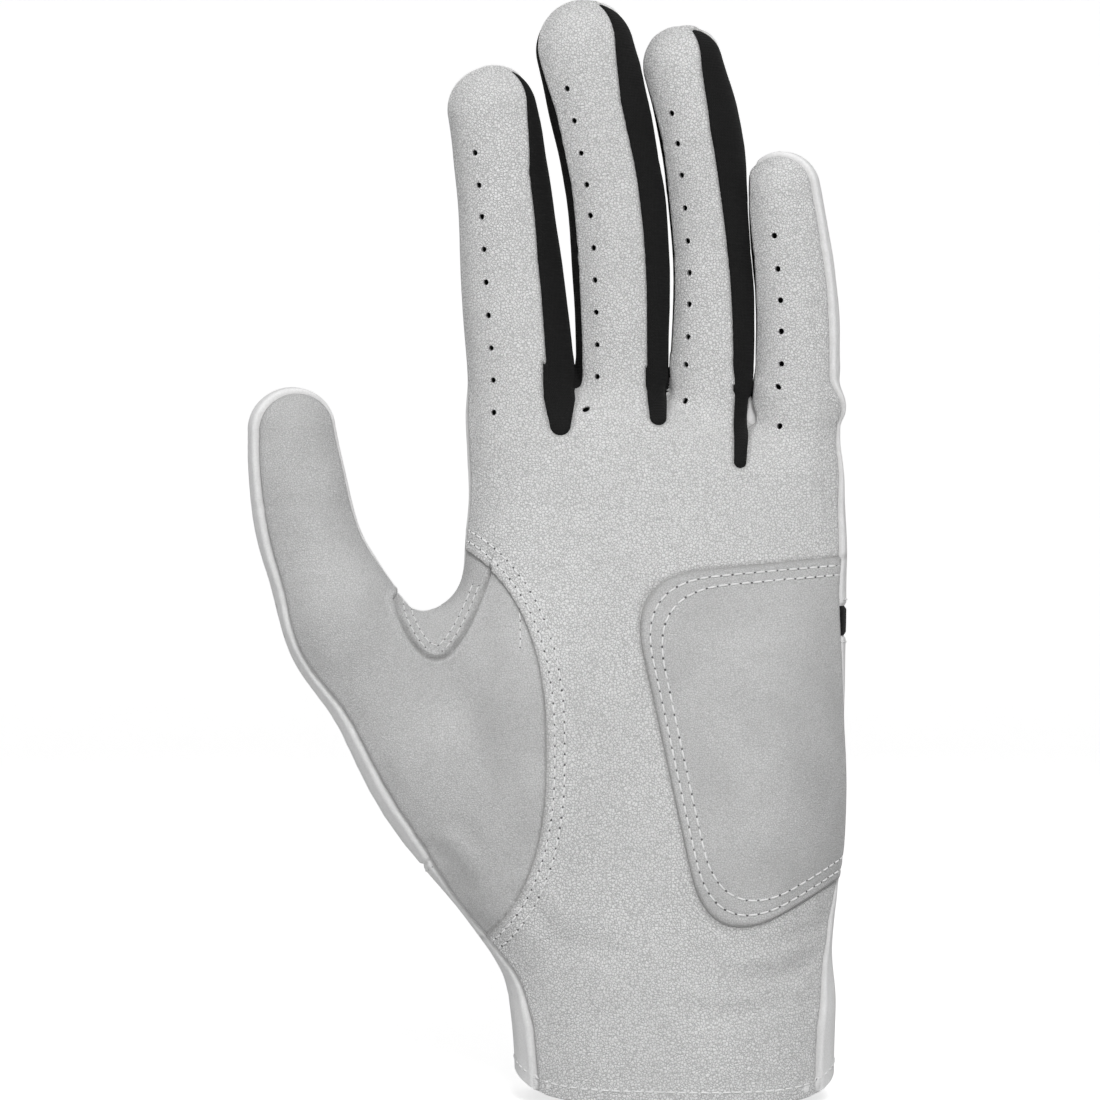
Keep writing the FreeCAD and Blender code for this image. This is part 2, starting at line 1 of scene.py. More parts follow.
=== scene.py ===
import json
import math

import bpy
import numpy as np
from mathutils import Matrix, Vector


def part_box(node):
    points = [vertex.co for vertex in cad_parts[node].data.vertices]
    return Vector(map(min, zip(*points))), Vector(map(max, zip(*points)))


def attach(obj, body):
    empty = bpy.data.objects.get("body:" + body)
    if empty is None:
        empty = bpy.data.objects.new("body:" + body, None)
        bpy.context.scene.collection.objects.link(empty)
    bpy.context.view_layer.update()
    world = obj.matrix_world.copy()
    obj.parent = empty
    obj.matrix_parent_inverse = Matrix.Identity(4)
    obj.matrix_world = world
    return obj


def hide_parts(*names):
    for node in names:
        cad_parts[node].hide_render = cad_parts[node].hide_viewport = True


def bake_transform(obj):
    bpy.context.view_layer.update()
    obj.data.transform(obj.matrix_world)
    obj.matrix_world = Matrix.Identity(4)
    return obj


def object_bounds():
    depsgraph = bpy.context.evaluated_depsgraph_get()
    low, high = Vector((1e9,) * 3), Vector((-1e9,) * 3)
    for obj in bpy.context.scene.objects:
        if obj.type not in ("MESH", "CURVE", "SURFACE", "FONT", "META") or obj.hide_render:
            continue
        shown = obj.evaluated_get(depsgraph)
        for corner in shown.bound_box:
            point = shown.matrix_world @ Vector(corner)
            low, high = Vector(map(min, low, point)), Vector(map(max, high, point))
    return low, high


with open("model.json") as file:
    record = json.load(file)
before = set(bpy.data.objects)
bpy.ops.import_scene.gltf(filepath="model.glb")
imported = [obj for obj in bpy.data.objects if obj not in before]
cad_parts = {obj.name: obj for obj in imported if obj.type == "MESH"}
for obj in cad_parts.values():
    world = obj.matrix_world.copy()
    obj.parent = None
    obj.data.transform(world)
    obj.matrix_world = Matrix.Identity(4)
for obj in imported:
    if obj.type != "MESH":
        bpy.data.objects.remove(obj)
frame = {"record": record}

# %% [markdown]
# A golf glove for the left hand, filled out as it is on a hand.
# On the real object thin leather is cut into panels, sewn along narrow seams and pulled over a hand.
# It could be made by modelling each panel alone, but then no two edges would meet.
# Here one smooth hand shape is made first, the seam lines are drawn on it, and it is cut along them,
# which is how a pattern maker works: tape on the form, then panels off the tape.

import openvdb
from mathutils import Vector
from mathutils.geometry import tessellate_polygon

MM = 0.001
cad_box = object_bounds()
record = frame["record"]
joints = {joint["name"]: joint for joint in record["behaviour"]["joints"]}
FINGERS = ["index", "middle", "ring", "little"]
DIGITS = FINGERS + ["thumb"]


def mm(point):
    """A place of the frame in millimetres."""
    return np.array(point, float) / MM


crease = {d: [mm(joints[f"{d}_{k}_crease"]["pos_m"]) for k in ("base", "middle")] for d in DIGITS}
tip = {d: mm(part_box(f"{d}_distal_front")[1])[2] for d in DIGITS}
print("fingertips at", {d: round(float(z), 1) for d, z in tip.items()}, "mm")

# %% [markdown]
# The form inside the glove. A hand could be sculpted, or lofted from rings.
# A distance field is used instead: every digit is a tapered capsule and the palm a stack of soft ovals,
# and fields blend into each other with a smooth minimum, so the webs and the ball of the thumb
# come out rounded with no work on their topology.

# %% Centre lines of the digits
# Each digit is a row of (x, y, z, half-width) in millimetres, from inside the palm to the tip.
BONES = {
    "index": [
        (-31.5, 0.5, 126, 11.0),
        (-33.2, 0.5, 146, 11.7),
        (-34.0, 0.0, 161, 11.75),
        (-35.5, -1.0, 178, 11.3),
        (-37.0, -2.4, 195, 10.6),
        (-38.7, -4.0, 208, 10.2),
        (-40.2, -5.2, 216.6, 9.8),
    ],
    "middle": [
        (-11.2, 1.0, 128, 10.2),
        (-11.4, 1.0, 150, 10.2),
        (-11.3, 0.6, 165, 10.4),
        (-11.6, -0.6, 182, 10.9),
        (-13.2, -2.2, 200, 11.1),
        (-16.5, -4.2, 217, 11.2),
        (-19.6, -5.8, 230.0, 10.8),
    ],
    "ring": [
        (6.9, 0.5, 126, 9.3),
        (7.9, 0.5, 146, 9.3),
        (8.5, 0.0, 163, 9.4),
        (8.7, -1.0, 180, 9.0),
        (7.6, -2.5, 196, 9.1),
        (5.8, -4.3, 212, 9.4),
        (1.9, -5.8, 226.3, 8.9),
    ],
    "little": [
        (26.0, -0.5, 120, 10.4),
        (27.0, -0.5, 142, 9.9),
        (27.4, -1.0, 156, 9.6),
        (27.1, -2.0, 174, 9.2),
        (25.6, -3.6, 188, 8.9),
        (23.9, -5.0, 199.6, 8.3),
    ],
    "thumb": [
        (-27.5, -2.0, 42, 14.5),
        (-48.3, -4.5, 64, 14.4),
        (-60.8, -5.5, 83, 13.0),
        (-71.0, -5.0, 101, 11.3),
        (-78.0, -5.0, 115, 11.3),
        (-81.6, -5.8, 126, 10.9),
        (-83.6, -7.0, 138, 10.3),
        (-84.3, -7.8, 146.3, 9.6),
    ],
}
DEPTH = {"index": 0.9, "middle": 0.9, "ring": 0.92, "little": 0.9, "thumb": 0.86}
SPREAD = {"index": 0.0, "middle": 0.0, "ring": 1.7, "little": 3.4, "thumb": 0.0}
WEB_TOP = {"index": 156.0, "middle": 156.0, "ring": 155.0, "little": 150.0, "thumb": 96.0}


def smooth(t):
    """0 below 0, 1 above 1, and a soft step between."""
    t = np.clip(t, 0.0, 1.0)
    return t * t * (3 - 2 * t)


def through(points, steps):
    """A smooth curve through rows of numbers (Catmull-Rom)."""
    p = np.array(points, float)
    p = np.vstack([2 * p[0] - p[1], p, 2 * p[-1] - p[-2]])
    out = []
    for k in range(1, len(p) - 2):
        for t in np.arange(steps) / steps:
            a, b, c, d = p[k - 1 : k + 3]
            square, cube = 2 * a - 5 * b + 4 * c - d, 3 * b - a - 3 * c + d
            out.append((2 * b + (c - a) * t + square * t**2 + cube * t**3) / 2)
    out.append(p[-2])
    return np.array(out)


def spread_at(digit, z):
    """How far a finger stands off its neighbours while the form is meshed, so that they don't fuse."""
    return SPREAD[digit] * smooth((z - WEB_TOP[digit] + 1.0) / 9.0)


lines = {}
for digit in DIGITS:
    row = through(BONES[digit], 4)
    row[:, 0] += spread_at(digit, row[:, 2])
    lines[digit] = row
print("centre lines of", sum(len(row) for row in lines.values()), "points")


# %% Distances to the form
def digit_field(digit, p):
    """Signed distance in mm from points to a digit's skin."""
    row = lines[digit]
    best = np.full(len(p), 1e3)
    for a, b in zip(row[:-1], row[1:]):
        step = b[:3] - a[:3]
        t = np.clip((p - a[:3]) @ step / (step @ step), 0, 1)
        q = p - a[:3] - t[:, None] * step
        q[:, 1] /= DEPTH[digit]
        best = np.minimum(best, np.sqrt((q * q).sum(1)) - a[3] - t * (b[3] - a[3]))
    return best


# The palm's ovals: height, middle in x, half-width, half-depth, middle in y.
PALM = [
    (-14, 0.5, 34.3, 22.6, 0),
    (0, 0.2, 34.5, 22.4, 0),
    (9, 0.0, 34.7, 22.2, 0),
    (20, -0.3, 35.5, 21.8, 0),
    (31, -1.4, 35.8, 21.2, 0),
    (44, -2.6, 37.6, 20.4, 0),
    (60, -3.5, 39.9, 19.4, 0),
    (80, -4.2, 40.8, 18.4, 0),
    (100, -4.2, 41.7, 17.3, 0),
    (120, -4.1, 41.3, 15.8, 0.3),
    (132, -4.0, 40.4, 14.6, 0.6),
    (142, -4.0, 40.7, 13.2, 0.8),
    (152, -3.8, 41.2, 11.4, 0.8),
    (170, -3.8, 41.0, 9.0, 0.8),
]
palm_rows = through(PALM, 6)
OVAL = 2.35  # above 2, the ovals are squarer than an ellipse


def soft_min(a, b, k):
    """The smaller of two distances, rounded over k millimetres where they meet."""
    h = np.maximum(k - np.abs(a - b), 0.0)
    return np.minimum(a, b) - h * h / (4 * k)


def palm_field(p):
    """Signed distance in mm from points to the skin of the palm and the wrist."""
    cx, a, b, cy = (np.interp(p[:, 2], palm_rows[:, 0], palm_rows[:, k]) for k in range(1, 5))
    u = np.abs(p[:, 0] - cx) / a + 1e-4
    v = np.abs(p[:, 1] - cy) / b + 1e-4
    s = (u**OVAL + v**OVAL) ** (1 / OVAL)
    slope = s ** (1 - OVAL) * np.sqrt((u ** (OVAL - 1) / a) ** 2 + (v ** (OVAL - 1) / b) ** 2)
    side = (s - 1) / slope
    top = np.interp(p[:, 0], [-46, -24, -3, 16, 38], [154, 154.5, 152, 145.5, 141])
    return -soft_min(-side, top - p[:, 2], 9.0)


def ball(p, centre, radii):
    """Signed distance, near enough, to an ellipsoid."""
    q = (p - np.array(centre)) / np.array(radii)
    r = np.sqrt((q * q).sum(1)) + 1e-6
    return (r - 1) * min(radii)


SWELLS = [
    ((16.5, -5, 66), (15, 16.5, 36)),
    ((-30, -6, 78), (16, 14.5, 34)),
    ((-73, -5, 102), (10.0, 10, 11)),
    ((-50, -4, 96), (8.0, 7, 9)),
]


def near(p, low, high):
    """Which points lie in a box."""
    return np.all((p > low) & (p < high), axis=1)


def form_field(p):
    """Signed distance in mm to the whole hand form."""
    body = palm_field(p)
    for centre, radii in SWELLS:
        body = soft_min(body, ball(p, centre, radii), 10.0)
    whole = body
    for digit in DIGITS:
        row = lines[digit]
        here = near(p, row[:, :3].min(0) - 20, row[:, :3].max(0) + 20)
        if here.any():
            one = np.full(len(p), 1e3)
            one[here] = digit_field(digit, p[here])
            joined = soft_min(body, one, 11.0 if digit == "thumb" else 5.0)
            whole = soft_min(whole, joined, 1.2)
    return whole


# %% [markdown]
# From field to skin. The field is sampled on a grid and turned into a mesh of even faces
# by OpenVDB, the library behind Blender's voxel tools, then each point is pulled exactly onto the field.

# %% The skin of the form
grid_step = 1.0
low = np.array([-102.0, -34.0, -8.0])
high = np.array([48.0, 34.0, 246.0])
counts = np.ceil((high - low) / grid_step).astype(int)
axes = [low[k] + grid_step * np.arange(counts[k]) for k in range(3)]
samples = np.empty(tuple(counts), np.float32)
for number, x in enumerate(axes[0]):
    yy, zz = np.meshgrid(axes[1], axes[2], indexing="ij")
    sheet = np.stack([np.full(yy.size, x), yy.ravel(), zz.ravel()], 1)
    samples[number] = form_field(sheet).reshape(yy.shape)
volume = openvdb.FloatGrid(background=5.0)
volume.copyFromArray(samples)
points, quads = volume.convertToQuads(isovalue=0.0)
points = points.astype(float) * grid_step + low


def pull_to_skin(p, rounds=2):
    """Moves points along the field's slope until they lie on the form."""
    e = 0.05
    for _ in range(rounds):
        f = form_field(p)
        slope = np.stack([(form_field(p + e * d) - f) / e for d in np.eye(3)], 1)
        p = p - slope * (f / np.maximum((slope * slope).sum(1), 0.2))[:, None]
    return p


points = pull_to_skin(points)
print("skin of", len(points), "points and", len(quads), "faces")

# %% [markdown]
# Where each seam runs. On paper patterns these are drawn lines.
# Here each is a field whose zero is the seam and whose value is the distance from it in millimetres,
# because the same number can cut the skin, press a valley into it and place the stitches beside it.


# %% Places on a digit
def on_digit(digit, p):
    """For points near a digit: way along it, sideways and depth offsets from its line, half-width there."""
    row = lines[digit]
    best = np.full(len(p), 1e9)
    out = np.zeros((len(p), 4))
    start = 0.0
    for k, (a, b) in enumerate(zip(row[:-1], row[1:])):
        step = b[:3] - a[:3]
        length = np.sqrt(step @ step)
        along = step / length
        side = np.cross([0, 1, 0], along)
        side /= np.sqrt(side @ side)
        deep = np.cross(along, side)
        rel = p - a[:3]
        t = rel @ along / length
        t = np.clip(t, 0, 1) if k < len(row) - 2 else np.maximum(t, 0)
        q = rel - (t * length)[:, None] * along
        gap = (q * q).sum(1)
        closer = gap < best
        best = np.where(closer, gap, best)
        width = a[3] + np.minimum(t, 1) * (b[3] - a[3])
        here = np.stack([start + t * length, rel @ side, rel @ deep, width], 1)
        out[closer] = here[closer]
        start += length
    return out


def length_of(digit):
    """From the start of a digit's line to its tip, along it."""
    row = lines[digit]
    return np.sqrt((np.diff(row[:, :3], axis=0) ** 2).sum(1)).sum() + row[-1, 3]


def level(digit, height):
    """How far along a digit's line it reaches a height."""
    row = lines[digit]
    way = np.concatenate([[0], np.cumsum(np.sqrt((np.diff(row[:, :3], axis=0) ** 2).sum(1)))])
    return np.interp(height, row[:, 2], way)


# %% Seam positions, in millimetres and degrees
# Side strips of the fingers: the angle of their palm-side seam at the base and near the tip,
# and of their back seam.
STRIPS = {
    ("index", 1): (29, 42, 122),
    ("middle", -1): (64, 62, 138),
    ("middle", 1): (33, 22, 122),
    ("ring", -1): (80, 72, 140),
    ("ring", 1): (32, 2, 118),
    ("little", -1): (88, 66, 140),
}
# Seam between palm leather and back leather on a digit: the roll of its plane,
# and its place in depth, in half-widths.
OUTER_SEAM = {
    "index": (0, -0.05),
    "middle": (-10, 0.1),
    "ring": (-10, 0.1),
    "little": (-20, -0.3),
    "thumb": (15, -0.36),
}
# The strips' ends in the palm: x, half-width and height at the low end, the same where they reach
# full width, and the height where the finger's own strip has taken over.
WEB_SLOTS = [
    ((-25.3, 2.3, 147.4), (-25.3, 3.4, 153.5), 163),
    ((-3.7, 1.9, 149.4), (-3.6, 2.2, 154.0), 162),
    ((14.2, 1.4, 139.3), (15.6, 1.9, 157.0), 158),
]
THENAR_ARC = (-72.0, 76.0, 43.8, 50.0, 2.5)
THUMB_BACK_ARC = (-76.0, 84.0, 33.0, 40.0, 2.3)
# The heel patch's straight edges: a place (x, z) and the way out, and the radius that rounds its corners.
PATCH_EDGES = [
    ((-7.0, 96), (-0.977, -0.2125)),
    ((36, 118.4), (-0.091, 0.996)),
    ((18.4, 39.0), (0.457, -0.889)),
]
PATCH_ROUND = 17.0
BAND = (104.3, 3.3)
# Where a digit's base piece and end piece begin, as heights on its line.
# Heights at which a digit's panels are divided at its base crease and its middle crease.
PIECE_CUTS = {
    "index": (158, 173),
    "middle": (158, 174),
    "ring": (157.5, 173),
    "little": (151, 163),
    "thumb": (103, 118),
}
# One column of air holes on each finger: their number and their angle from the finger's front.
AIR_HOLES = {"index": (9, -32), "middle": (11, -34), "ring": (10, -38), "little": (7, -26)}
HOLE_PITCH = 7.3
HOLE_FROM_TIP = 18.0
HOLE_RADIUS = 0.66
SLIT = (-8.0, 2.2, 50.0)
# How far the two rows of stitches lie from the edge of the thumb panel and of the heel patch.
THENAR_ROWS = (1.75, 3.9)
PATCH_ROWS = (1.8, 3.9)
# The seam of the small gore between thumb and palm, from the thumb down and up to the index finger's side.
GORE_SEAM = [
    (-61.1, 109.4),
    (-59.9, 104.8),
    (-57.3, 99.9),
    (-54.2, 96.8),
    (-50.8, 96.6),
    (-47.5, 100.3),
    (-44.2, 106.6),
    (-42.0, 112.1),
    (-40.8, 115.9),
]


def arc_field(p, arc):
    """Distance in mm from points to a squarish oval drawn through the glove along Y."""
    cx, cz, a, b, power = arc
    u = np.abs(p[:, 0] - cx) / a + 1e-4
    v = np.abs(p[:, 2] - cz) / b + 1e-4
    s = (u**power + v**power) ** (1 / power)
    slope = s ** (1 - power) * np.sqrt((u ** (power - 1) / a) ** 2 + (v ** (power - 1) / b) ** 2)
    return (s - 1) / slope


def side_seam(x, z):
    """Depth of the seam between palm and back: it comes forward at the cuff and on the little-finger side."""
    both_sides = np.interp(z, [0, 16, 33, 55, 100, 150], [-13.5, -13.0, -9.5, -5.5, -2.0, -2.0])
    forward = np.interp(z, [45, 75, 100, 110, 135, 150], [0, 2.0, 5.0, 5.0, 3.0, 1.5])
    return both_sides - forward * smooth(x / 20)


def gore_field(p):
    """Distance in mm to the gore's seam on the palm side, above zero inside the gore."""
    out = np.full(len(p), 30.0)
    here = near(p, (-70, -40, 88), (-34, 2, 124))
    spots = p[here][:, [0, 2]]
    best, sign = np.full(len(spots), 30.0), np.ones(len(spots))
    path = through(GORE_SEAM, 3)
    for start, end in zip(path[:-1], path[1:]):
        step = end - start
        rel = spots - start
        t = np.clip(rel @ step / (step @ step), 0, 1)
        off = rel - t[:, None] * step
        gap = np.sqrt((off * off).sum(1))
        turn = step[0] * rel[:, 1] - step[1] * rel[:, 0]
        closer = gap < best
        best = np.where(closer, gap, best)
        sign = np.where(closer, np.sign(turn), sign)
    out[here] = best * sign
    return out


def hem(p):
    """Height of the hem, lowest in front and at the back."""
    rise = 1 - smooth(np.abs(p[:, 1]) / 21.0)
    return 0.2 + 4.6 * rise + 0.5 * smooth(-p[:, 0] / 60 + 0.4)


def seam_fields(p):
    """Every field of the pattern at the points, one column each, with a digit's number as the last column."""
    palm = palm_field(p)
    count = len(p)
    reach = np.full((count, len(DIGITS)), 1e3)
    spots = {}
    for k, digit in enumerate(DIGITS):
        row = lines[digit]
        here = near(p, row[:, :3].min(0) - 18, row[:, :3].max(0) + 18)
        reach[here, k] = digit_field(digit, p[here])
        spots[digit] = (here, on_digit(digit, p[here]))
    own = reach.argmin(1)
    finger = (own < 4) & (p[:, 2] > 146)
    thumb = (own == 4) & (reach[:, 4] < palm + 3)
    side = p[:, 1] - side_seam(p[:, 0], p[:, 2])
    base_cut, end_cut, hole, flank = (np.full(count, v) for v in (-30.0, -30.0, 30.0, 0.0))
    black = np.full(count, 30.0)
    for (low_x, low_half, palm_end), (high_x, high_half, full), high_end in WEB_SLOTS:
        low_end = palm_end + 8 * smooth(p[:, 1] / 4)
        part = np.clip((p[:, 2] - low_end) / (full - palm_end), 0, 1)
        dx = p[:, 0] - low_x - (high_x - low_x) * part
        half = low_half + (high_half - low_half) * part
        slot = np.hypot(dx, np.minimum(p[:, 2] - low_end, 0)) - half
        slot = np.maximum(slot, p[:, 2] - high_end)
        slot[finger & (p[:, 2] > high_end - 2)] = 30.0
        black = np.minimum(black, slot)
    for k, digit in enumerate(DIGITS):
        here, spot = spots[digit]
        way, u, v, width = spot.T
        roll, depth = OUTER_SEAM[digit]
        turn = math.radians(roll)
        plane = v * math.cos(turn) - u * math.sin(turn) - depth * width
        if digit == "thumb":
            mix = smooth((way - 4) / 30)
        else:
            mix = smooth((p[here, 2] - 146) / 14)
        mine = own[here] == k
        if digit == "thumb":
            mine &= thumb[here]
        blended = (1 - mix) * side[here] + mix * plane
        side[np.flatnonzero(here)[mine]] = blended[mine]
        angle = np.degrees(np.arctan2(u, -v / DEPTH[digit]))
        radius = np.hypot(u, v / DEPTH[digit])
        full = length_of(digit)
        at = np.flatnonzero(here)[mine]
        base_cut[at] = way[mine] - level(digit, PIECE_CUTS[digit][0])
        end_cut[at] = way[mine] - level(digit, PIECE_CUTS[digit][1])
        flank[at] = np.sign(u[mine])
        if digit in AIR_HOLES:
            number, column = AIR_HOLES[digit]
            nearest = np.clip(np.round((full - HOLE_FROM_TIP - way) / HOLE_PITCH), 0, number - 1)
            along = way - (full - HOLE_FROM_TIP - nearest * HOLE_PITCH)
            across = (angle - column) * radius * math.pi / 180
            hole[at] = (np.hypot(along, across) - HOLE_RADIUS)[mine]
        start = level(digit, 156.5 if digit != "little" else 150.0)
        part = np.clip((way - start) / (full - start), 0, 1)
        for sign in (-1, 1):
            if (digit, sign) not in STRIPS:
                continue
            low_seam, tip_seam, back_seam = STRIPS[digit, sign]
            front = low_seam + (tip_seam - low_seam) * part
            middle = (front + back_seam) / 2
            half = (back_seam - front) / 2 * np.clip((full - 1.5 - way) / 22, 0, 1) ** 0.4
            strip = (np.abs(angle * sign - middle) - half) * radius * math.pi / 180
            strip = np.maximum(strip, start - way)
            spot_black = black[here]
            spot_black[mine] = soft_min(spot_black[mine], strip[mine], 1.6)
            black[here] = spot_black
    thenar = arc_field(p, THENAR_ARC)
    thumb_back = arc_field(p, THUMB_BACK_ARC)
    patch = np.full(count, -1e3)
    for (x, z), (nx, nz) in PATCH_EDGES:
        patch = -soft_min(-patch, -((p[:, 0] - x) * nx + (p[:, 2] - z) * nz), PATCH_ROUND)
    slit = np.hypot(p[:, 0] - SLIT[0], np.maximum(p[:, 2] - SLIT[2] + SLIT[1], 0)) - SLIT[1]
    slit[p[:, 1] < 0] = 30.0
    number = np.where(finger, own, np.where(thumb, 4, 9)).astype(float)
    band = np.abs(p[:, 2] - BAND[0]) - BAND[1]
    columns = [p[:, 2] - hem(p), side, black, thenar, thumb_back, patch, slit, band]
    columns += [base_cut, end_cut, hole, number, flank]
    return np.stack(columns, 1)


HEM, SIDE, BLACK, THENAR, THUMB_BACK, PATCH, SLIT_EDGE, BAND_EDGE = range(3, 11)
BASE, END, HOLE, OWNER, FLANK = range(11, 16)
sheet = np.hstack([points, seam_fields(points)])
faces = np.vstack([quads[:, [0, 1, 2]], quads[:, [0, 2, 3]]]).astype(np.int64)
print("pattern drawn on", len(sheet), "points")

# %% [markdown]
# Cutting and refining. Boolean cutters would leave ragged faces, and Bisect only cuts flat.
# Both jobs come down to one move: put a point on some edges and split the triangles beside them.


# %% Splitting edges
def split_edges(points, faces, choose):
    """Puts a point on every edge for which choose gives a place between 0 and 1, and splits the faces."""
    pairs = np.sort(np.vstack([faces[:, [0, 1]], faces[:, [1, 2]], faces[:, [2, 0]]]), axis=1)
    keys, which = np.unique(pairs[:, 0] * len(points) + pairs[:, 1], return_inverse=True)
    edges = np.stack([keys // len(points), keys % len(points)], 1)
    which = which.reshape(3, -1).T
    place = choose(points[edges[:, 0]], points[edges[:, 1]])
    marked = (place > 0) & (place < 1)
    if not marked.any():
        return points, faces
    fresh = np.full(len(edges), -1)
    fresh[marked] = len(points) + np.arange(marked.sum())
    t = place[marked][:, None]
    a, b = points[edges[marked, 0]], points[edges[marked, 1]]
    added = a + (b - a) * t
    added[:, OWNER:] = np.where(t < 0.5, a[:, OWNER:], b[:, OWNER:])
    points = np.vstack([points, added])
    new = fresh[which]
    has = new >= 0
    total = has.sum(1)
    out = [faces[total == 0]]
    for turn in range(3):
        order = [turn, (turn + 1) % 3, (turn + 2) % 3]
        f, n, h = faces[:, order], new[:, order], has[:, order]
        one = (total == 1) & h[:, 0]
        a, b, c, x = f[one, 0], f[one, 1], f[one, 2], n[one, 0]
        out += [np.stack([a, x, c], 1), np.stack([x, b, c], 1)]
        two = (total == 2) & h[:, 0] & h[:, 1]
        a, b, c, x, y = f[two, 0], f[two, 1], f[two, 2], n[two, 0], n[two, 1]
        out.append(np.stack([x, b, y], 1))
        gap_ay = ((points[a, :3] - points[y, :3]) ** 2).sum(1)
        gap_xc = ((points[x, :3] - points[c, :3]) ** 2).sum(1)
        first = gap_ay < gap_xc
        out.append(np.where(first[:, None], np.stack([a, x, y], 1), np.stack([a, x, c], 1)))
        out.append(np.where(first[:, None], np.stack([a, y, c], 1), np.stack([x, y, c], 1)))
    all3 = total == 3
    a, b, c = faces[all3].T
    x, y, z = new[all3].T
    out += [np.stack(k, 1) for k in ((a, x, z), (x, b, y), (z, y, c), (x, y, z))]
    return points, np.vstack(out)


def refine(points, faces, target, rounds=3):
    """Splits edges until none is longer than the target length at its middle."""
    for _ in range(rounds):
        def choose(a, b):
            length = np.sqrt(((a[:, :3] - b[:, :3]) ** 2).sum(1))
            return np.where(length > 1.35 * target((a + b) / 2), 0.5, 0.0)
        points, faces = split_edges(points, faces, choose)
    return points, faces


def cut_at_zero(points, faces, column, where=None):
    """Splits the faces along the line where a field is zero."""
    def choose(a, b):
        fa, fb = a[:, column], b[:, column]
        crossing = (fa * fb < 0) & (np.abs(fa) > 0.015) & (np.abs(fb) > 0.015)
        crossing &= np.abs(fa - fb) < 6
        if where is not None:
            crossing &= where(a) & where(b)
        return np.where(crossing, fa / np.where(fa == fb, 1, fa - fb), 0.0)
    return split_edges(points, faces, choose)


def seam_nearness(p):
    """Distance to the nearest seam that shows."""
    front = p[:, SIDE] < 4
    on_hand = p[:, BASE] < 2
    gap = np.abs(p[:, BLACK])
    gap = np.where(p[:, BLACK] > 0, np.minimum(gap, np.abs(p[:, SIDE])), gap)
    gap = np.where(front & on_hand, np.minimum(gap, np.abs(p[:, THENAR])), gap)
    gap = np.where(front & on_hand, np.minimum(gap, np.abs(p[:, PATCH])), gap)
    gap = np.minimum(gap, np.abs(gore_field(p[:, :3])))
    return np.where(~front, np.minimum(gap, np.abs(p[:, BAND_EDGE])), gap)


def wanted_edge(p):
    """Edge length in mm that the mesh needs at a point."""
    size = np.where(seam_nearness(p) < 2.6, detail, 9.0)
    return np.where(np.abs(p[:, HOLE]) < 0.9, 0.6 * detail, size)


detail = 0.45
sheet, faces = refine(sheet, faces, wanted_edge)
sheet[:, :3] = pull_to_skin(sheet[:, :3], 1)
sheet[:, 3:] = seam_fields(sheet[:, :3])
print("after refining:", len(sheet), "points and", len(faces), "faces")

# %% Cutting along the seams
ON_LINE = 0.02


def leather(p):
    """Points that aren't on a black strip."""
    return p[:, BLACK] > -ON_LINE


def front(p):
    """Points on the palm-side leather."""
    return leather(p) & (p[:, SIDE] < ON_LINE)


def front_of_hand(p):
    """Points on the palm-side leather below the fingers' base creases."""
    return front(p) & (p[:, BASE] < ON_LINE)


def back_of_hand(p):
    """Points on the back leather below the base creases."""
    return leather(p) & (p[:, SIDE] > -ON_LINE) & (p[:, BASE] < ON_LINE)


CUTS = [
    (HEM, None),
    (BASE, None),
    (END, None),
    (BLACK, None),
    (SIDE, leather),
    (THENAR, front_of_hand),
    (PATCH, front_of_hand),
    (THUMB_BACK, back_of_hand),
    (BAND_EDGE, back_of_hand),
    (SLIT_EDGE, back_of_hand),
    (HOLE, front),
]
for column, where in CUTS:
    sheet, faces = cut_at_zero(sheet, faces, column, where)
print("after cutting:", len(sheet), "points and", len(faces), "faces")

# %% [markdown]
# Relief. A sewn glove is never smooth: leather rolls into each seam, a lapped edge stands proud,
# thread pulls a groove, and the skin has slow swells. A painted bump would leave the outline flat,
# so each of these is a height in millimetres that moves the points themselves.


# %% Heights on the leather
def bell(x, width):
    """1 at zero, falling softly to nothing over about twice the width."""
    return np.exp(-((x / width) ** 2))


def wander(p, seed, wave):
    """Slow even noise, made of a few sine waves about that many millimetres long."""
    dice = np.random.default_rng(seed)
    total = np.zeros(len(p))
    for _ in range(7):
        way = dice.normal(size=3)
        way /= np.sqrt(way @ way)
        total += np.sin(p @ way * 2 * math.pi / (wave * dice.uniform(0.7, 1.5)) + dice.uniform(0, 6.28))
    return total / 3


# Folds on the palm side: from (x, z) to (x, z), width, depth and bow, in millimetres.
FOLDS = [
    ((8, 27), (34, 33), 2.6, -0.75, -3),
    ((-2, 21), (27, 24), 2.4, -0.5, -3),
    ((-30, 33), (-8, 28), 3.0, -0.45, 3),
    ((-40, 47), (-25, 30), 2.6, -0.5, 3),
    ((-57, 57), (-44, 43), 2.2, -0.45, 2),
    ((-52, 62), (-41, 51), 2.0, -0.35, 2),
    ((16, 33), (37, 42), 2.0, -0.35, -2),
]
# Heights of the shallow creases across the front of each digit.
CREASE_LEVELS = {
    "index": (203, 184),
    "middle": (212, 187),
    "ring": (208, 186),
    "little": (188, 173),
    "thumb": (130, 112),
}


def fold_height(p):
    """Depth of the folds at points on the palm side."""
    out = np.zeros(len(p))
    for (x0, z0), (x1, z1), width, depth, bow in FOLDS:
        step = np.array([x1 - x0, z1 - z0], float)
        length = np.sqrt(step @ step)
        rel = p[:, [0, 2]] - [x0, z0]
        t = rel @ step / length**2
        inner_t = np.clip(t, 0, 1)
        off = (rel[:, 0] * -step[1] + rel[:, 1] * step[0]) / length - bow * 4 * inner_t * (1 - inner_t)
        inside = smooth(t / 0.3) * smooth((1 - t) / 0.3)
        out += depth * inside * (bell(off, width) - 0.5 * bell(off - 2.0 * width, width))
    return out * (p[:, 1] < 4)


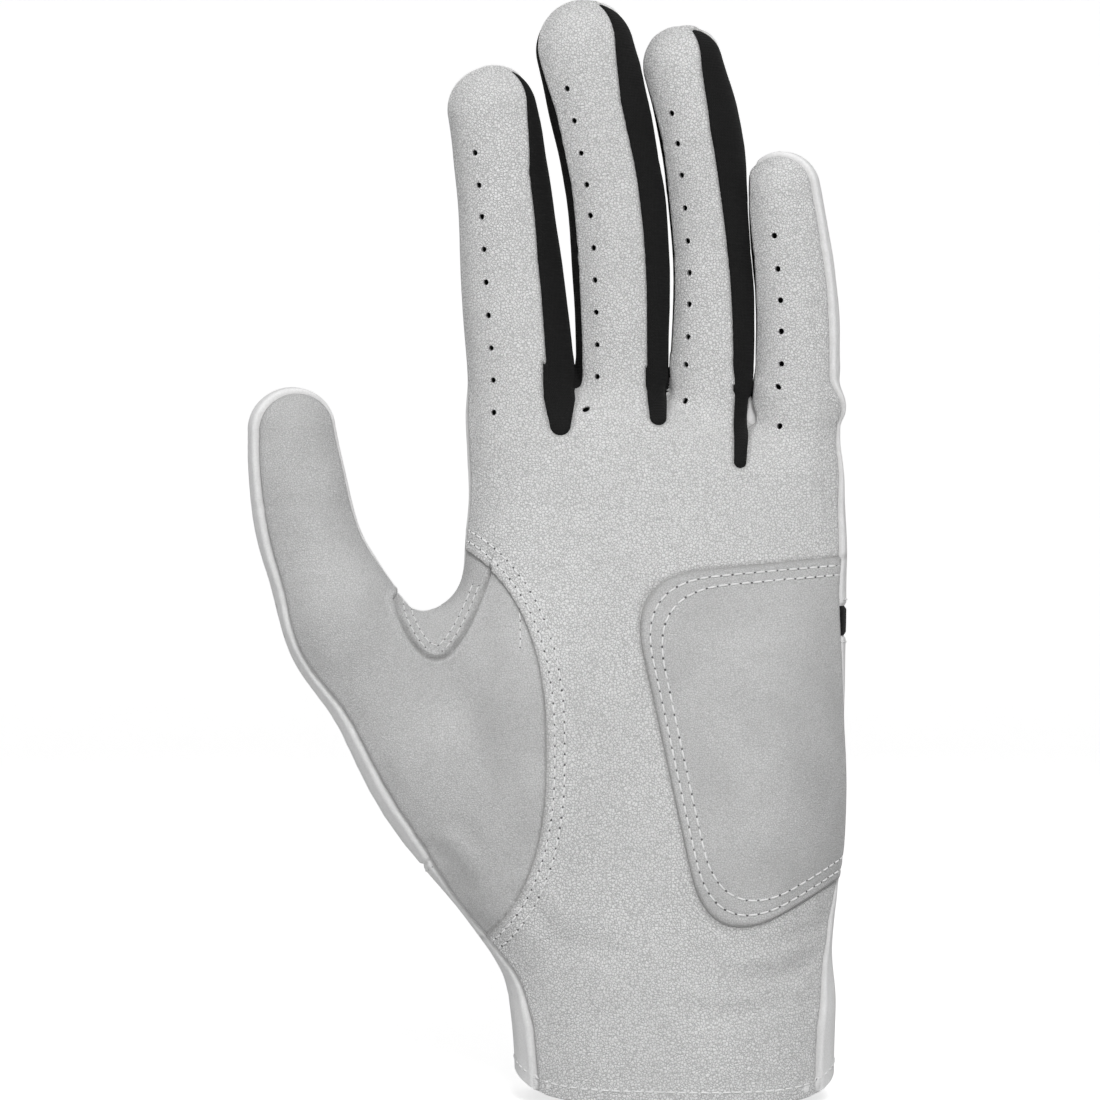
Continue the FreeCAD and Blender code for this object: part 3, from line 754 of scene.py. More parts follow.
def relief(s):
    """Height in mm over the form at rows of points with their fields."""
    p, b, side = s[:, :3], s[:, BLACK], s[:, SIDE]
    out = 0.16 * wander(p, 1, 36) + 0.07 * wander(p, 2, 12)
    rolled = 0.2 * bell(b - 1.5, 1.0) - 0.55 * bell(b, 0.5)
    sunk = -0.1 * smooth(-b / 0.8) - 0.6 * bell(b, 0.5)
    out += np.where(b > 0, rolled, sunk)
    away = smooth(b / 1.5)
    out += away * (0.2 * bell(np.abs(side) - 1.4, 0.9) - 0.6 * bell(side, 0.45))
    hand = away * (s[:, BASE] < 0)
    t = s[:, THENAR]
    lap = np.where(t > -0.05, 0.3 * np.exp(-np.abs(t) / 4.0), -0.25 * np.exp(-np.abs(t) / 2.5))
    rows = sum(bell(t - row, 0.4) for row in THENAR_ROWS)
    out += hand * (side < 0) * (lap - 0.14 * rows)
    out += hand * (side > 0) * -0.5 * (bell(s[:, BAND_EDGE], 0.45) + bell(s[:, THUMB_BACK], 0.45))
    out += fold_height(p) * hand
    gore = gore_field(p)
    dip = 0.35 * bell(gore + 1.3, 0.8) - 1.4 * bell(gore, 0.5) - 0.4 * smooth(gore / 1.5) * bell(gore, 6)
    out += dip * smooth((2 - p[:, 1]) / 2)
    for digit in DIGITS:
        row = lines[digit]
        for height in CREASE_LEVELS[digit]:
            spot = np.array([np.interp(height, row[:, 2], row[:, k]) for k in range(3)])
            rel = p - spot
            close = (np.abs(rel[:, 2]) < 9) & (np.abs(rel[:, 0]) < 16)
            arch = rel[:, 2] + 0.012 * rel[:, 0] ** 2
            in_front = close * (p[:, 1] < spot[1]) * smooth(-rel[:, 1] / 6)
            out += in_front * -0.16 * (bell(arch, 1.1) + 0.6 * bell(arch + 3.4, 0.9))
    return out


# %% Bringing the fingers back together
# Where two fingers touch: heights, and the x of the line between them.
MEET_MIDDLE_RING = (
    (155, 173, 190, 198, 206, 216, 222, 236),
    (-1.2, -0.8, -0.8, -1.6, -3.4, -5.0, -6.5, -9.2),
)
MEET_RING_LITTLE = (
    (151, 160, 169, 178, 186, 195, 204, 212),
    (17.0, 17.8, 18.1, 17.8, 16.9, 16.3, 16.4, 16.6),
)
ROOM = 0.1


def settle(p, s):
    """Takes back the spread of the fingers and presses touching flanks flat against each other."""
    p = p.copy()
    for k, digit in enumerate(DIGITS[:4]):
        mine = s[:, OWNER] == k
        p[mine, 0] -= spread_at(digit, s[mine, 2])
        for line, first in ((MEET_MIDDLE_RING, 1), (MEET_RING_LITTLE, 2)):
            wall = np.interp(p[:, 2], line[0], line[1])
            tight = mine & (p[:, 2] > line[0][0])
            if k == first:
                p[tight, 0] = np.minimum(p[tight, 0], wall[tight] - ROOM)
            if k == first + 1:
                p[tight, 0] = np.maximum(p[tight, 0], wall[tight] + ROOM)
    return p


def slopes(p):
    """The form's outward direction at points."""
    e = 0.05
    f = form_field(p)
    slope = np.stack([(form_field(p + e * d) - f) / e for d in np.eye(3)], 1)
    return slope / np.sqrt((slope * slope).sum(1))[:, None]


def face_normals_to_points(p, faces):
    """A direction for each point from the faces around it."""
    a, b, c = (p[faces[:, k]] for k in range(3))
    area = np.cross(b - a, c - a)
    out = np.zeros_like(p)
    for k in range(3):
        for axis in range(3):
            out[:, axis] += np.bincount(faces[:, k], area[:, axis], len(p))
    return out / np.maximum(np.sqrt((out * out).sum(1)), 1e-9)[:, None]


outward = slopes(sheet[:, :3])
height = relief(sheet)
skin = settle(sheet[:, :3] + outward * height[:, None], sheet)
skin_normals = face_normals_to_points(skin, faces)
print("relief from", round(float(height.min()), 2), "to", round(float(height.max()), 2), "mm")

# %% [markdown]
# Panels. Each face of the skin belongs to one panel, told by the signs of the fields at its middle.
# A panel is then made a real piece of leather: the outer face, an inner face a wall further in, and a rim.
# The outer face keeps the directions of the uncut skin, so a cut that is no seam doesn't show.

# %% Meshes from arrays
LEATHER = 1.1
FAR_FROM_SEAM = 9.0


def make_mesh(name, points, triangles, directions=None, rest=None, seam=None):
    """A Blender object from points in mm and triangles, with the attributes that the materials read."""
    mesh = bpy.data.meshes.new(name)
    mesh.vertices.add(len(points))
    mesh.vertices.foreach_set("co", (points * MM).astype(np.float32).ravel())
    mesh.loops.add(3 * len(triangles))
    mesh.loops.foreach_set("vertex_index", triangles.astype(np.int32).ravel())
    mesh.polygons.add(len(triangles))
    mesh.polygons.foreach_set("loop_start", (3 * np.arange(len(triangles))).astype(np.int32))
    mesh.update(calc_edges=True)
    mesh.validate()
    mesh.shade_smooth()
    place = mesh.attributes.new("rest", "FLOAT_VECTOR", "POINT")
    place.data.foreach_set("vector", (points if rest is None else rest).astype(np.float32).ravel())
    near_seam = mesh.attributes.new("seam", "FLOAT", "POINT")
    distances = np.full(len(points), FAR_FROM_SEAM) if seam is None else seam
    near_seam.data.foreach_set("value", distances.astype(np.float32))
    if directions is not None:
        mesh.normals_split_custom_set_from_vertices(directions.tolist())
    piece = bpy.data.objects.new(name, mesh)
    bpy.context.collection.objects.link(piece)
    return piece


def rim_edges(triangles):
    """The directed edges that only one triangle has."""
    edges = np.vstack([triangles[:, [0, 1]], triangles[:, [1, 2]], triangles[:, [2, 0]]])
    span = triangles.max() + 1
    forward, back = edges[:, 0] * span + edges[:, 1], edges[:, 1] * span + edges[:, 0]
    return edges[~np.isin(forward, back)]


def panel(name, chosen, lift=None, wall=LEATHER):
    """A panel of leather or fabric from the chosen faces of the skin."""
    used, local = np.unique(faces[chosen], return_inverse=True)
    triangles = local.reshape(-1, 3)
    outer, directions = skin[used], skin_normals[used]
    if lift is not None:
        outer = outer + outward[used] * lift[used][:, None]
        directions = face_normals_to_points(outer, triangles)
    inner = outer - outward[used] * wall
    count = len(used)
    rim = rim_edges(triangles)
    a, b = rim[:, 0], rim[:, 1]
    everything = [
        triangles,
        triangles[:, ::-1] + count,
        np.stack([b, a, a + count], 1),
        np.stack([b, a + count, b + count], 1),
    ]
    seam = np.minimum(seam_nearness(sheet[used]), FAR_FROM_SEAM)
    rest = sheet[used, :3]
    return make_mesh(
        name,
        np.vstack([outer, inner]),
        np.vstack(everything),
        np.vstack([directions, -directions]),
        np.vstack([rest, rest - 3.0]),
        np.concatenate([seam, seam]),
    )


# %% Which face belongs to which panel
middle_of = sheet[faces].mean(1)
owner_of = np.sort(sheet[faces][:, :, OWNER], axis=1)[:, 1].astype(int)
kept = (middle_of[:, HEM] > 0) & (middle_of[:, HOLE] > 0) & (middle_of[:, SLIT_EDGE] > 0)
is_black = middle_of[:, BLACK] < 0
is_front = middle_of[:, SIDE] < 0
stage_of = (middle_of[:, BASE] > 0).astype(int) + (middle_of[:, END] > 0)
on_hand = kept & (stage_of == 0)
of_thumb = owner_of == 4
plain_front = on_hand & is_front & ~is_black
plain_back = on_hand & ~is_front & ~is_black
x_of, z_of = middle_of[:, 0], middle_of[:, 2]
past_ball = of_thumb & (z_of > 90)
in_thenar = (middle_of[:, THENAR] < 0) | past_ball
in_thumb_back = (middle_of[:, THUMB_BACK] < 0) | past_ball
in_patch = middle_of[:, PATCH] < 0
in_band = middle_of[:, BAND_EDGE] < 0

HAND_PANELS = {
    "palm_panel": plain_front & ~in_thenar,
    "thenar_panel": plain_front & in_thenar,
    "thumb_back_root": plain_back & in_thumb_back,
    "knuckle_band": plain_back & ~in_thumb_back & in_band,
    "back_panel_upper": plain_back & ~in_thumb_back & ~in_band & (z_of > BAND[0]),
    "back_panel_lower": plain_back & ~in_thumb_back & ~in_band & (z_of < BAND[0]),
    "web_index_middle": on_hand & is_black & (x_of < -14),
    "web_middle_ring": on_hand & is_black & (x_of > -14) & (x_of < 6),
    "web_ring_little": on_hand & is_black & (x_of > 6),
}
FABRIC = 0.7
panels = {}
for name, chosen in HAND_PANELS.items():
    soft = name.startswith("web") or name == "knuckle_band"
    panels[name] = panel(name, chosen, wall=FABRIC if soft else LEATHER)
    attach(panels[name], "hand")
    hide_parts(name)
print("hand panels:", {name: len(piece.data.polygons) for name, piece in panels.items()})

# %% The heel patch
# A second layer of leather sewn on: its edge is rounded over and stands the layer's thickness above the palm.
PATCH_WALL = 0.75
inside = np.clip(-sheet[:, PATCH] / 0.7, 0, 1)
patch_height = 0.12 + (PATCH_WALL - 0.12) * np.sqrt(1 - (1 - inside) ** 2)
patch_rows = sum(bell(sheet[:, PATCH] + row, 0.4) for row in PATCH_ROWS)
patch_height -= 0.15 * patch_rows
patch_faces = plain_front & ~in_thenar & in_patch & (x_of > -12)
panels["heel_patch"] = panel("heel_patch", patch_faces, lift=patch_height, wall=PATCH_WALL - 0.1)
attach(panels["heel_patch"], "hand")
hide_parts("heel_patch")
print("heel patch of", len(panels["heel_patch"].data.polygons), "faces")

# %% Digit panels
# Each panel of a digit is two pieces: one between the base crease and the middle crease, and one beyond the
# middle crease.
BENDS = {
    "index": ((158.5, 172.5), (174, 197)),
    "middle": ((158.5, 173), (175, 198)),
    "ring": ((158, 172.5), (174, 197)),
    "little": ((151.5, 162.5), (164, 183)),
    "thumb": ((103.5, 117.5), (118.5, 140)),
}


def place_on(digit, height):
    """The place in metres where a digit's line reaches a height."""
    row = lines[digit]
    spot = np.array([np.interp(height, row[:, 2], row[:, k]) for k in range(3)])
    spot[0] -= spread_at(digit, height)
    return tuple(spot * MM)


for number, digit in enumerate(DIGITS):
    bodies = ["hand", f"{digit}_proximal", f"{digit}_distal"]
    for step in (1, 2):
        here = kept & (stage_of == step) & (owner_of == number)
        sides = {"front": here & is_front & ~is_black, "back": here & ~is_front & ~is_black}
        for sign, side_name in ((-1, "inner"), (1, "outer")):
            if (digit, sign) in STRIPS:
                sides[f"{side_name}_strip"] = here & is_black & (middle_of[:, FLANK] * sign > 0)
        for side_name, chosen in sides.items():
            name = f"{bodies[step]}_{side_name}"
            piece = panel(name, chosen, wall=FABRIC if "strip" in side_name else LEATHER)
            start, end = (place_on(digit, z) for z in BENDS[digit][step - 1])
            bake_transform(piece)
            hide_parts(name)
            panels[name] = piece
print(len(panels), "panels,", sum(len(piece.data.polygons) for piece in panels.values()), "faces in all")

# %% [markdown]
# What is sewn on. Tapes, elastic, pads and the closure tab are flat goods laid on the glove.
# They could be separate flat meshes pressed on with Shrinkwrap, but that leaves folds and gaps.
# Instead each is drawn flat, a ray finds the leather under every point of it, and the piece is built
# between two heights over that leather, so it follows the wrist exactly.


# %% Finding the leather
def cast(start, way, reach=60.0):
    """Where rays that start inside the form leave it."""
    inner, outer = np.zeros(len(start)), np.full(len(start), reach)
    for _ in range(20):
        middle = (inner + outer) / 2
        outside = form_field(start + way * middle[:, None]) > 0
        outer = np.where(outside, middle, outer)
        inner = np.where(outside, inner, middle)
    return start + way * inner[:, None]


def leather_at(start, way):
    """The relief's place and the outward direction where rays meet the leather."""
    p = cast(start, way)
    out = slopes(p)
    return p + out * relief(np.hstack([p, seam_fields(p)]))[:, None], out


def behind(x, z, side=1):
    """The leather of the back (side 1) or the palm (side -1) at places x, z."""
    x, z = np.broadcast_arrays(np.asarray(x, float), np.asarray(z, float))
    start = np.stack([x.ravel(), np.zeros(x.size), z.ravel()], 1)
    p, out = leather_at(start, np.tile([0.0, side, 0.0], (x.size, 1)))
    return p.reshape(x.shape + (3,)), out.reshape(x.shape + (3,))


def round_wrist(turn, above_hem):
    """The leather at turns in radians round the wrist and heights above the hem."""
    turn, above = np.broadcast_arrays(np.asarray(turn, float), np.asarray(above_hem, float))
    way = np.stack([np.cos(turn).ravel(), np.sin(turn).ravel(), np.zeros(turn.size)], 1)
    start = np.stack([np.zeros(turn.size), np.zeros(turn.size), above.ravel()], 1)
    start[:, 2] += hem(cast(start, way))
    p, out = leather_at(start, way)
    return p.reshape(turn.shape + (3,)), out.reshape(turn.shape + (3,))


# %% Two ways of building a layer
def grid_faces(number):
    """The triangles between neighbours of a grid of point numbers."""
    a, b, c, d = number[:-1, :-1], number[:-1, 1:], number[1:, 1:], number[1:, :-1]
    return [np.stack([a, b, c], -1).reshape(-1, 3), np.stack([a, c, d], -1).reshape(-1, 3)]


def strip(name, grid, profile):
    """A tape: rows of points along its run, one column for each corner of its closed profile."""
    rows, columns = grid.shape[:2]
    number = np.arange(rows * columns).reshape(rows, columns)
    triangles = grid_faces(np.hstack([number, number[:, :1]]))
    cap = np.array(tessellate_polygon([[Vector((u, v, 0)) for u, v in profile]]))
    triangles += [cap, cap[:, ::-1] + (rows - 1) * columns]
    points = grid.reshape(-1, 3)
    return make_mesh(name, points, outward_faces(points, np.vstack(triangles)))


def outward_faces(points, triangles):
    """The triangles, turned over if together they enclose a negative volume."""
    a, b, c = (points[triangles[:, k]] for k in range(3))
    volume = (a * np.cross(b, c)).sum()
    return triangles if volume > 0 else triangles[:, ::-1]


def rounded(x0, x1, z0, z1, left, right):
    """An outline in x and z with round corners of one radius at the left end and one at the right."""
    out = []
    for x, z, r, turn in ((x1, z1, right, 0), (x0, z1, left, 90), (x0, z0, left, 180), (x1, z0, right, 270)):
        cx, cz = x + (r if x == x0 else -r), z + (r if z == z0 else -r)
        for t in np.radians(turn + np.linspace(0, 90, 9)):
            out.append((cx + r * math.cos(t), cz + r * math.sin(t)))
    out.append(out[0])
    out = np.array(out)
    run = np.concatenate([[0], np.cumsum(np.hypot(*np.diff(out, axis=0).T))])
    even = np.linspace(0, run[-1], int(run[-1] / 0.9), endpoint=False)
    return np.stack([np.interp(even, run, out[:, k]) for k in range(2)], 1)


def pad(name, outline, bottom, top, side=1, soft=0.45):
    """A layer with rounded edges between two heights in mm over the leather, or two functions of x."""
    centre = (outline.max(0) + outline.min(0)) / 2
    half = (outline.max(0) - outline.min(0)).min() / 2
    steps = np.array([0, 0.08, 0.2, 0.45, 0.8, 1.5, 2.5, 4, 6, 8.5, 11.5])
    steps = np.append(steps[steps < half * 0.85], half)
    rings = centre + (outline - centre) * (1 - steps / half)[:, None, None]
    p, out = behind(rings[..., 0], rings[..., 1], side)
    low = bottom(rings[..., 0]) if callable(bottom) else np.full(rings.shape[:2], float(bottom))
    high = top(rings[..., 0]) if callable(top) else np.full(rings.shape[:2], float(top))
    edge = np.clip(steps / soft, 0, 1)[:, None]
    high = high - np.minimum(soft, (high - low) * 0.8) * (1 - np.sqrt(1 - (1 - edge) ** 2))
    over, under = p + out * high[..., None], p + out * low[..., None]
    count, around = len(steps), len(outline)
    number = np.arange(count * around).reshape(count, around)
    number = np.hstack([number, number[:, :1]])
    face = np.vstack(grid_faces(number))
    far = count * around
    a, b = number[0, :-1], number[0, 1:]
    wall = np.vstack([np.stack([b, a, a + far], 1), np.stack([b, a + far, b + far], 1)])
    points = np.vstack([over.reshape(-1, 3), under.reshape(-1, 3)])
    triangles = np.vstack([face, face[:, ::-1] + far, wall])
    return make_mesh(name, points, outward_faces(points, triangles))


# %% The cuff: binding, facing, elastic and the slit's tape
SLIT_X, SLIT_HALF, SLIT_TOP = SLIT
gap_side = [behind(SLIT_X + s * SLIT_HALF, 2.0)[0] for s in (1, -1)]
turns = [math.atan2(p[1], p[0]) for p in gap_side]
around = np.linspace(turns[1] - 2 * math.pi, turns[0], 220)
# The binding's section, folded over the hem: height above the hem and height over the leather.
U_FOLD = [(3.0, 0.05), (3.0, 0.4), (2.7, 0.62), (1.6, 0.66), (0.3, 0.6), (-0.45, 0.2), (-0.65, -0.55)]
U_FOLD += [(-0.45, -1.3), (0.3, -1.75), (2.7, -1.75), (3.0, -1.6), (3.0, -1.15), (0.0, -1.13), (0.0, 0.03)]


def wrist_strip(name, turn, profile):
    """A tape round the wrist with a profile of (height above the hem, height over the leather)."""
    base, out = round_wrist(turn[:, None], np.array([max(h, 0.3) for h, _ in profile])[None, :])
    down = np.array([min(h - 0.3, 0.0) for h, _ in profile])
    grid = base + out * np.array([o for _, o in profile])[None, :, None]
    grid[..., 2] += down[None, :]
    piece = strip(name, grid, profile)
    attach(piece, "hand")
    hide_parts(name)
    panels[name] = piece
    return base, out


wrist_strip("cuff_binding", around, U_FOLD)
FACING = [(3.2, -1.15), (13.4, -1.15), (13.6, -1.4), (13.4, -1.8), (3.2, -1.8)]
wrist_strip("cuff_facing", around, FACING)
front_turns = np.linspace(math.radians(-155), math.radians(-25), 60)
ribs = [(22 + k * 0.5, -1.2) for k in range(21)] + [(32 - k * 0.5, -2.1 - 0.16 * (k % 2)) for k in range(21)]
wrist_strip("wrist_elastic", front_turns, ribs)

rim_path = [(SLIT_X + SLIT_HALF, z) for z in np.linspace(3.4, SLIT_TOP - SLIT_HALF, 40)]
for t in np.linspace(0, math.pi, 12)[1:-1]:
    rim_path.append((SLIT_X + SLIT_HALF * math.cos(t), SLIT_TOP - SLIT_HALF + SLIT_HALF * math.sin(t)))
rim_path += [(SLIT_X - SLIT_HALF, z) for z in np.linspace(SLIT_TOP - SLIT_HALF, 3.4, 40)]
rim_path = np.array(rim_path)
middle_line = np.full(len(rim_path), SLIT_X)
rim_way = rim_path - np.stack([middle_line, np.minimum(rim_path[:, 1], SLIT_TOP - SLIT_HALF)], 1)
rim_way /= np.hypot(*rim_way.T)[:, None]
# The tape's section, folded over the slit's edge: distance out from the edge and height over the leather.
TAPE = [(2.5, 0.05), (2.5, 0.35), (2.2, 0.5), (0.2, 0.5), (-0.35, 0.1), (-0.5, -0.55), (-0.35, -1.2)]
TAPE += [(0.2, -1.65), (2.2, -1.65), (2.5, -1.5), (2.5, -1.13), (0.0, -1.13), (0.0, 0.03)]
across = np.array([a for a, _ in TAPE])
spots = rim_path[:, None] + rim_way[:, None] * across[None, :, None]
base, out = behind(spots[..., 0], spots[..., 1])
tape_grid = base + out * np.array([o for _, o in TAPE])[None, :, None]
panels["slit_binding"] = strip("slit_binding", tape_grid, TAPE)
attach(panels["slit_binding"], "hand")
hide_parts("slit_binding")
print("cuff pieces go round", round(math.degrees(around[-1] - around[0])), "degrees")

# %% The closure
# The tab starts flat on the leather at its sewn end and climbs onto the loop pad.
TAB_Z = (13.0, 41.0)
TAB_LEATHER = 1.2


def climb(x):
    """Height of the tab's underside over the leather."""
    return 0.15 + 2.0 * smooth((x + 27.0) / 8.0)


def climb_over(x):
    """Height of the tab's upper side over the leather."""
    return climb(x) + TAB_LEATHER


CLOSURE = {
    "loop_patch": (rounded(2.5, 28, 14, 40, 3, 3), 0.1, 1.05, "hand"),
    "tab_anchor": (rounded(-27.3, -18.3, *TAB_Z, 2, 0.3), climb, climb_over, "hand"),
    "closure_tab": (rounded(-18.2, 29, *TAB_Z, 0.3, 10), 2.1, 3.3, "tab"),
    "hook_patch": (rounded(4, 26.5, 15.5, 38.5, 2, 7.5), 1.35, 2.05, "tab"),
    "tab_emblem": (rounded(9, 22, 20, 34, 3, 3), 3.25, 3.9, "tab"),
}
for name, (outline, bottom, top, body) in CLOSURE.items():
    piece = pad(name, outline, bottom, top)
    if name == "closure_tab":
        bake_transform(piece)
    else:
        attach(piece, body)
    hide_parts(name)
    panels[name] = piece

label_low, label_high = (mm(v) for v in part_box("size_label"))
label_side = 1 if label_low[1] + label_high[1] > 0 else -1
label_outline = rounded(label_low[0], label_high[0], label_low[2], label_high[2], 0.6, 0.6)
panels["size_label"] = pad("size_label", label_outline, -1.75, -1.25, side=label_side, soft=0.15)
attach(panels["size_label"], "hand")
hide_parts("size_label")
print("closure and label:", [name for name in panels if name in CLOSURE or name == "size_label"])

# %% [markdown]
# Stitching. Painted dashes would lie flat, so each stitch is a small thread with its ends in the leather,
# and a small dark disc of painted shade stands for the needle hole between two stitches. A row follows a
# seam's own field at a fixed distance, which is what a sewing machine's edge guide does.


# %% Rows of stitches
def contour(values, level, chosen, place, directions):
    """Lines on the skin where a field has a level, as lists of points and outward directions."""
    f = faces[chosen]
    above = values[f] > level
    mixed = above.any(1) & ~above.all(1)
    f, above = f[mixed], above[mixed]
    pairs = np.stack([f, np.roll(f, -1, axis=1)], -1)
    crossing = above != np.roll(above, -1, axis=1)
    pairs = np.sort(pairs[crossing].reshape(-1, 2), axis=1)
    keys, node = np.unique(pairs[:, 0] * len(values) + pairs[:, 1], return_inverse=True)
    a, b = keys // len(values), keys % len(values)
    t = ((level - values[a]) / (values[b] - values[a]))[:, None]
    points = place[a] + (place[b] - place[a]) * t
    out = directions[a] + (directions[b] - directions[a]) * t
    links = {}
    for first, second in node.reshape(-1, 2):
        links.setdefault(first, []).append(second)
        links.setdefault(second, []).append(first)
    ends = [k for k, v in links.items() if len(v) == 1]
    seen = set()
    rows = []
    for start in ends + list(links):
        if start in seen:
            continue
        path = [start]
        seen.add(start)
        while True:
            step = [k for k in links[path[-1]] if k not in seen]
            if not step:
                break
            path.append(step[0])
            seen.add(step[0])
        if len(path) > 12:
            rows.append((points[path], out[path]))
    return rows


def calm(points, rounds=6):
    """The points of a line with their small wobbles evened out."""
    for _ in range(rounds):
        points = np.vstack([points[:1], (points[:-2] + 2 * points[1:-1] + points[2:]) / 4, points[-1:]])
    return points


def at_run(where, run, values):
    """The rows of values at distances along a line."""
    return np.stack([np.interp(where, run, values[:, k]) for k in range(3)], -1)


def tube_faces(rings, sides):
    """The triangles of a closed tube made of rings with so many sides."""
    triangles = []
    for k in range(rings - 1):
        for j in range(sides):
            p, q = k * sides + j, k * sides + (j + 1) % sides
            triangles += [(p, q, q + sides), (p, q + sides, p + sides)]
    last = (rings - 1) * sides
    for j in range(1, sides - 1):
        triangles += [(0, j + 1, j), (last, last + j, last + j + 1)]
    return triangles


def many(name, block, triangles):
    """One mesh of many small pieces alike: a row of points for each piece, and the triangles of one."""
    count, size = block.shape[:2]
    every = (np.array(triangles)[None] + (np.arange(count) * size)[:, None, None]).reshape(-1, 3)
    return make_mesh(name, block.reshape(-1, 3), outward_faces(block.reshape(-1, 3), every))


def unit(rows):
    """Rows of directions at length 1."""
    return rows / np.sqrt((rows * rows).sum(1))[:, None]


# A stitch: how far along it each ring lies, its height over the leather and its radius, in mm.
THREAD_RINGS = [
    (0.0, -0.12, 0.10),
    (0.1, 0.06, 0.18),
    (0.3, 0.15, 0.22),
    (0.7, 0.15, 0.22),
    (0.9, 0.06, 0.18),
    (1.0, -0.12, 0.10),
]
THREAD_SIDES = 6
HOLE_SIDES = 8


def sew(name, rows, pitch, body, thread=1.0, gap=0.5):
    """One piece of separate stitches and one of small dark discs between them, painted shade for the needle
    holes, along rows of points.
    """
    stitches, holes = [], []
    for points, out in rows:
        points, out = calm(points), calm(out, 10)
        run = np.concatenate([[0], np.cumsum(np.sqrt((np.diff(points, axis=0) ** 2).sum(1)))])
        count = int(run[-1] / pitch)
        if count < 1:
            continue
        starts = np.arange(count) * pitch + (run[-1] - count * pitch) / 2
        enters = at_run(starts + gap / 2, run, points)
        leaves = at_run(starts + pitch - gap / 2, run, points)
        stitches.append((enters, leaves, at_run(starts + pitch / 2, run, out)))
        between = np.append(starts, run[-1])
        holes.append((at_run(between, run, points), at_run(between, run, out)))
    a, b, up = (np.vstack(part) for part in zip(*stitches))
    up = unit(up)
    side = unit(np.cross(b - a, up))
    ring = np.radians(np.arange(THREAD_SIDES) * 360 / THREAD_SIDES)
    parts = []
    for t, rise, radius in THREAD_RINGS:
        centre = a + (b - a) * t + up * rise * thread
        for turn in ring:
            sideways = side * (radius * thread * math.cos(turn))
            parts.append(centre + sideways + up * (radius * thread * 0.8 * math.sin(turn)))
    block = np.stack(parts, 1)
    count = len(block)
    thread_piece = many(name, block, tube_faces(len(THREAD_RINGS), THREAD_SIDES))
    spots, up = (np.vstack(part) for part in zip(*holes))
    up = unit(up)
    across = unit(np.cross(up, [0.3, 0.2, 1.0]))
    other = np.cross(up, across)
    corners = [spots + up * 0.03]
    for turn in np.radians(np.arange(HOLE_SIDES) * 360 / HOLE_SIDES):
        outwards = across * math.cos(turn) + other * math.sin(turn)
        corners.append(spots + outwards * 0.26 * thread + up * 0.01)
    corners.append(spots - up * 0.3)
    fan = []
    for j in range(HOLE_SIDES):
        p, q = 1 + j, 1 + (j + 1) % HOLE_SIDES
        fan += [(0, p, q), (HOLE_SIDES + 1, q, p)]
    hole_shade_piece = many(f"{name}_holes", np.stack(corners, 1), fan)
    for piece in (thread_piece, hole_shade_piece):
        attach(piece, body)
    threads[name] = thread_piece
    needle_hole_shades[name] = hole_shade_piece
    return count


threads, needle_hole_shades = {}, {}
palm_faces = HAND_PANELS["palm_panel"] & ~in_patch
rows = []
for level_mm in THENAR_ROWS:
    rows += contour(sheet[:, THENAR], level_mm, palm_faces, skin, skin_normals)
gore = gore_field(sheet[:, :3])
gore_faces = HAND_PANELS["thenar_panel"] & (x_of > -64) & (z_of > 98) & (z_of < 113)
gore_rows = []
for level_mm in (1.2, 2.6):
    gore_rows += contour(gore, level_mm, gore_faces, skin, skin_normals)
print("gore:", sew("gore_stitches", gore_rows, 2.0, "hand", thread=0.6), "stitches")
print("thumb panel seam:", sew("thumb_seam_stitches", rows, 2.3, "hand"), "stitches")

patch_skin = skin + outward * patch_height[:, None]
rows = []
for level_mm in PATCH_ROWS:
    rows += contour(sheet[:, PATCH], -level_mm, patch_faces, patch_skin, skin_normals)
print("heel patch:", sew("heel_patch_stitches", rows, 2.5, "hand"), "stitches")

whole_way = np.linspace(around[0] + 0.02, around[-1] - 0.02, 400)
front_way = np.linspace(-math.pi - 0.25, 0.25, 400)
rows = []
for way, above, height_mm in ((whole_way, 2.55, 0.64), (front_way, 17.2, 0.0)):
    p, out = round_wrist(way, above)
    rows.append((p + out * height_mm, out))
print("cuff:", sew("cuff_stitches", rows, 2.4, "hand"), "stitches")

rows = []
upper, lower = HAND_PANELS["back_panel_upper"], HAND_PANELS["back_panel_lower"]
for chosen in (upper, lower):
    rows += contour(sheet[:, BAND_EDGE], 1.4, chosen, skin, skin_normals)
rows += contour(sheet[:, THUMB_BACK], 1.5, lower, skin, skin_normals)
print("back:", sew("back_stitches", rows, 2.4, "hand", thread=0.85), "stitches")

inset = 1.6
edge = rounded(-17, 29 - inset, TAB_Z[0] + inset, TAB_Z[1] - inset, 0.3, 10 - inset)
nearest_root = int(np.argmin(np.abs(edge[:, 0] + 17) + np.abs(edge[:, 1] - 27)))
edge = np.roll(edge, -nearest_root, axis=0)
edge = edge[edge[:, 0] > -12]
p, out = behind(edge[:, 0], edge[:, 1])
rows = [(p + out * 3.3, out)]
edge = rounded(10, 21, 21, 33, 2.2, 2.2)
p, out = behind(edge[:, 0], edge[:, 1])
rows.append((p + out * 3.88, out))
print("tab:", sew("tab_stitches", rows, 2.2, "tab", thread=0.9), "stitches")

rows = []
for x in (-26.0, -20.2):
    z = np.linspace(TAB_Z[0] + 1.5, TAB_Z[1] - 1.5, 40)
    p, out = behind(np.full(40, x), z)
    rows.append((p + out * climb_over(np.full(40, x))[:, None], out))
edge = rim_path + rim_way * 1.7
p, out = behind(edge[:, 0], edge[:, 1])
rows.append((p + out * 0.5, out))
print("anchor and slit:", sew("anchor_stitches", rows, 2.2, "hand", thread=0.9), "stitches")

# %% Hooks
# The hook side of a closure is a field of tiny bent stems; they face the leather and show when the tab opens.
HOOK_PITCH = 1.25
HOOK_SIDES = 5
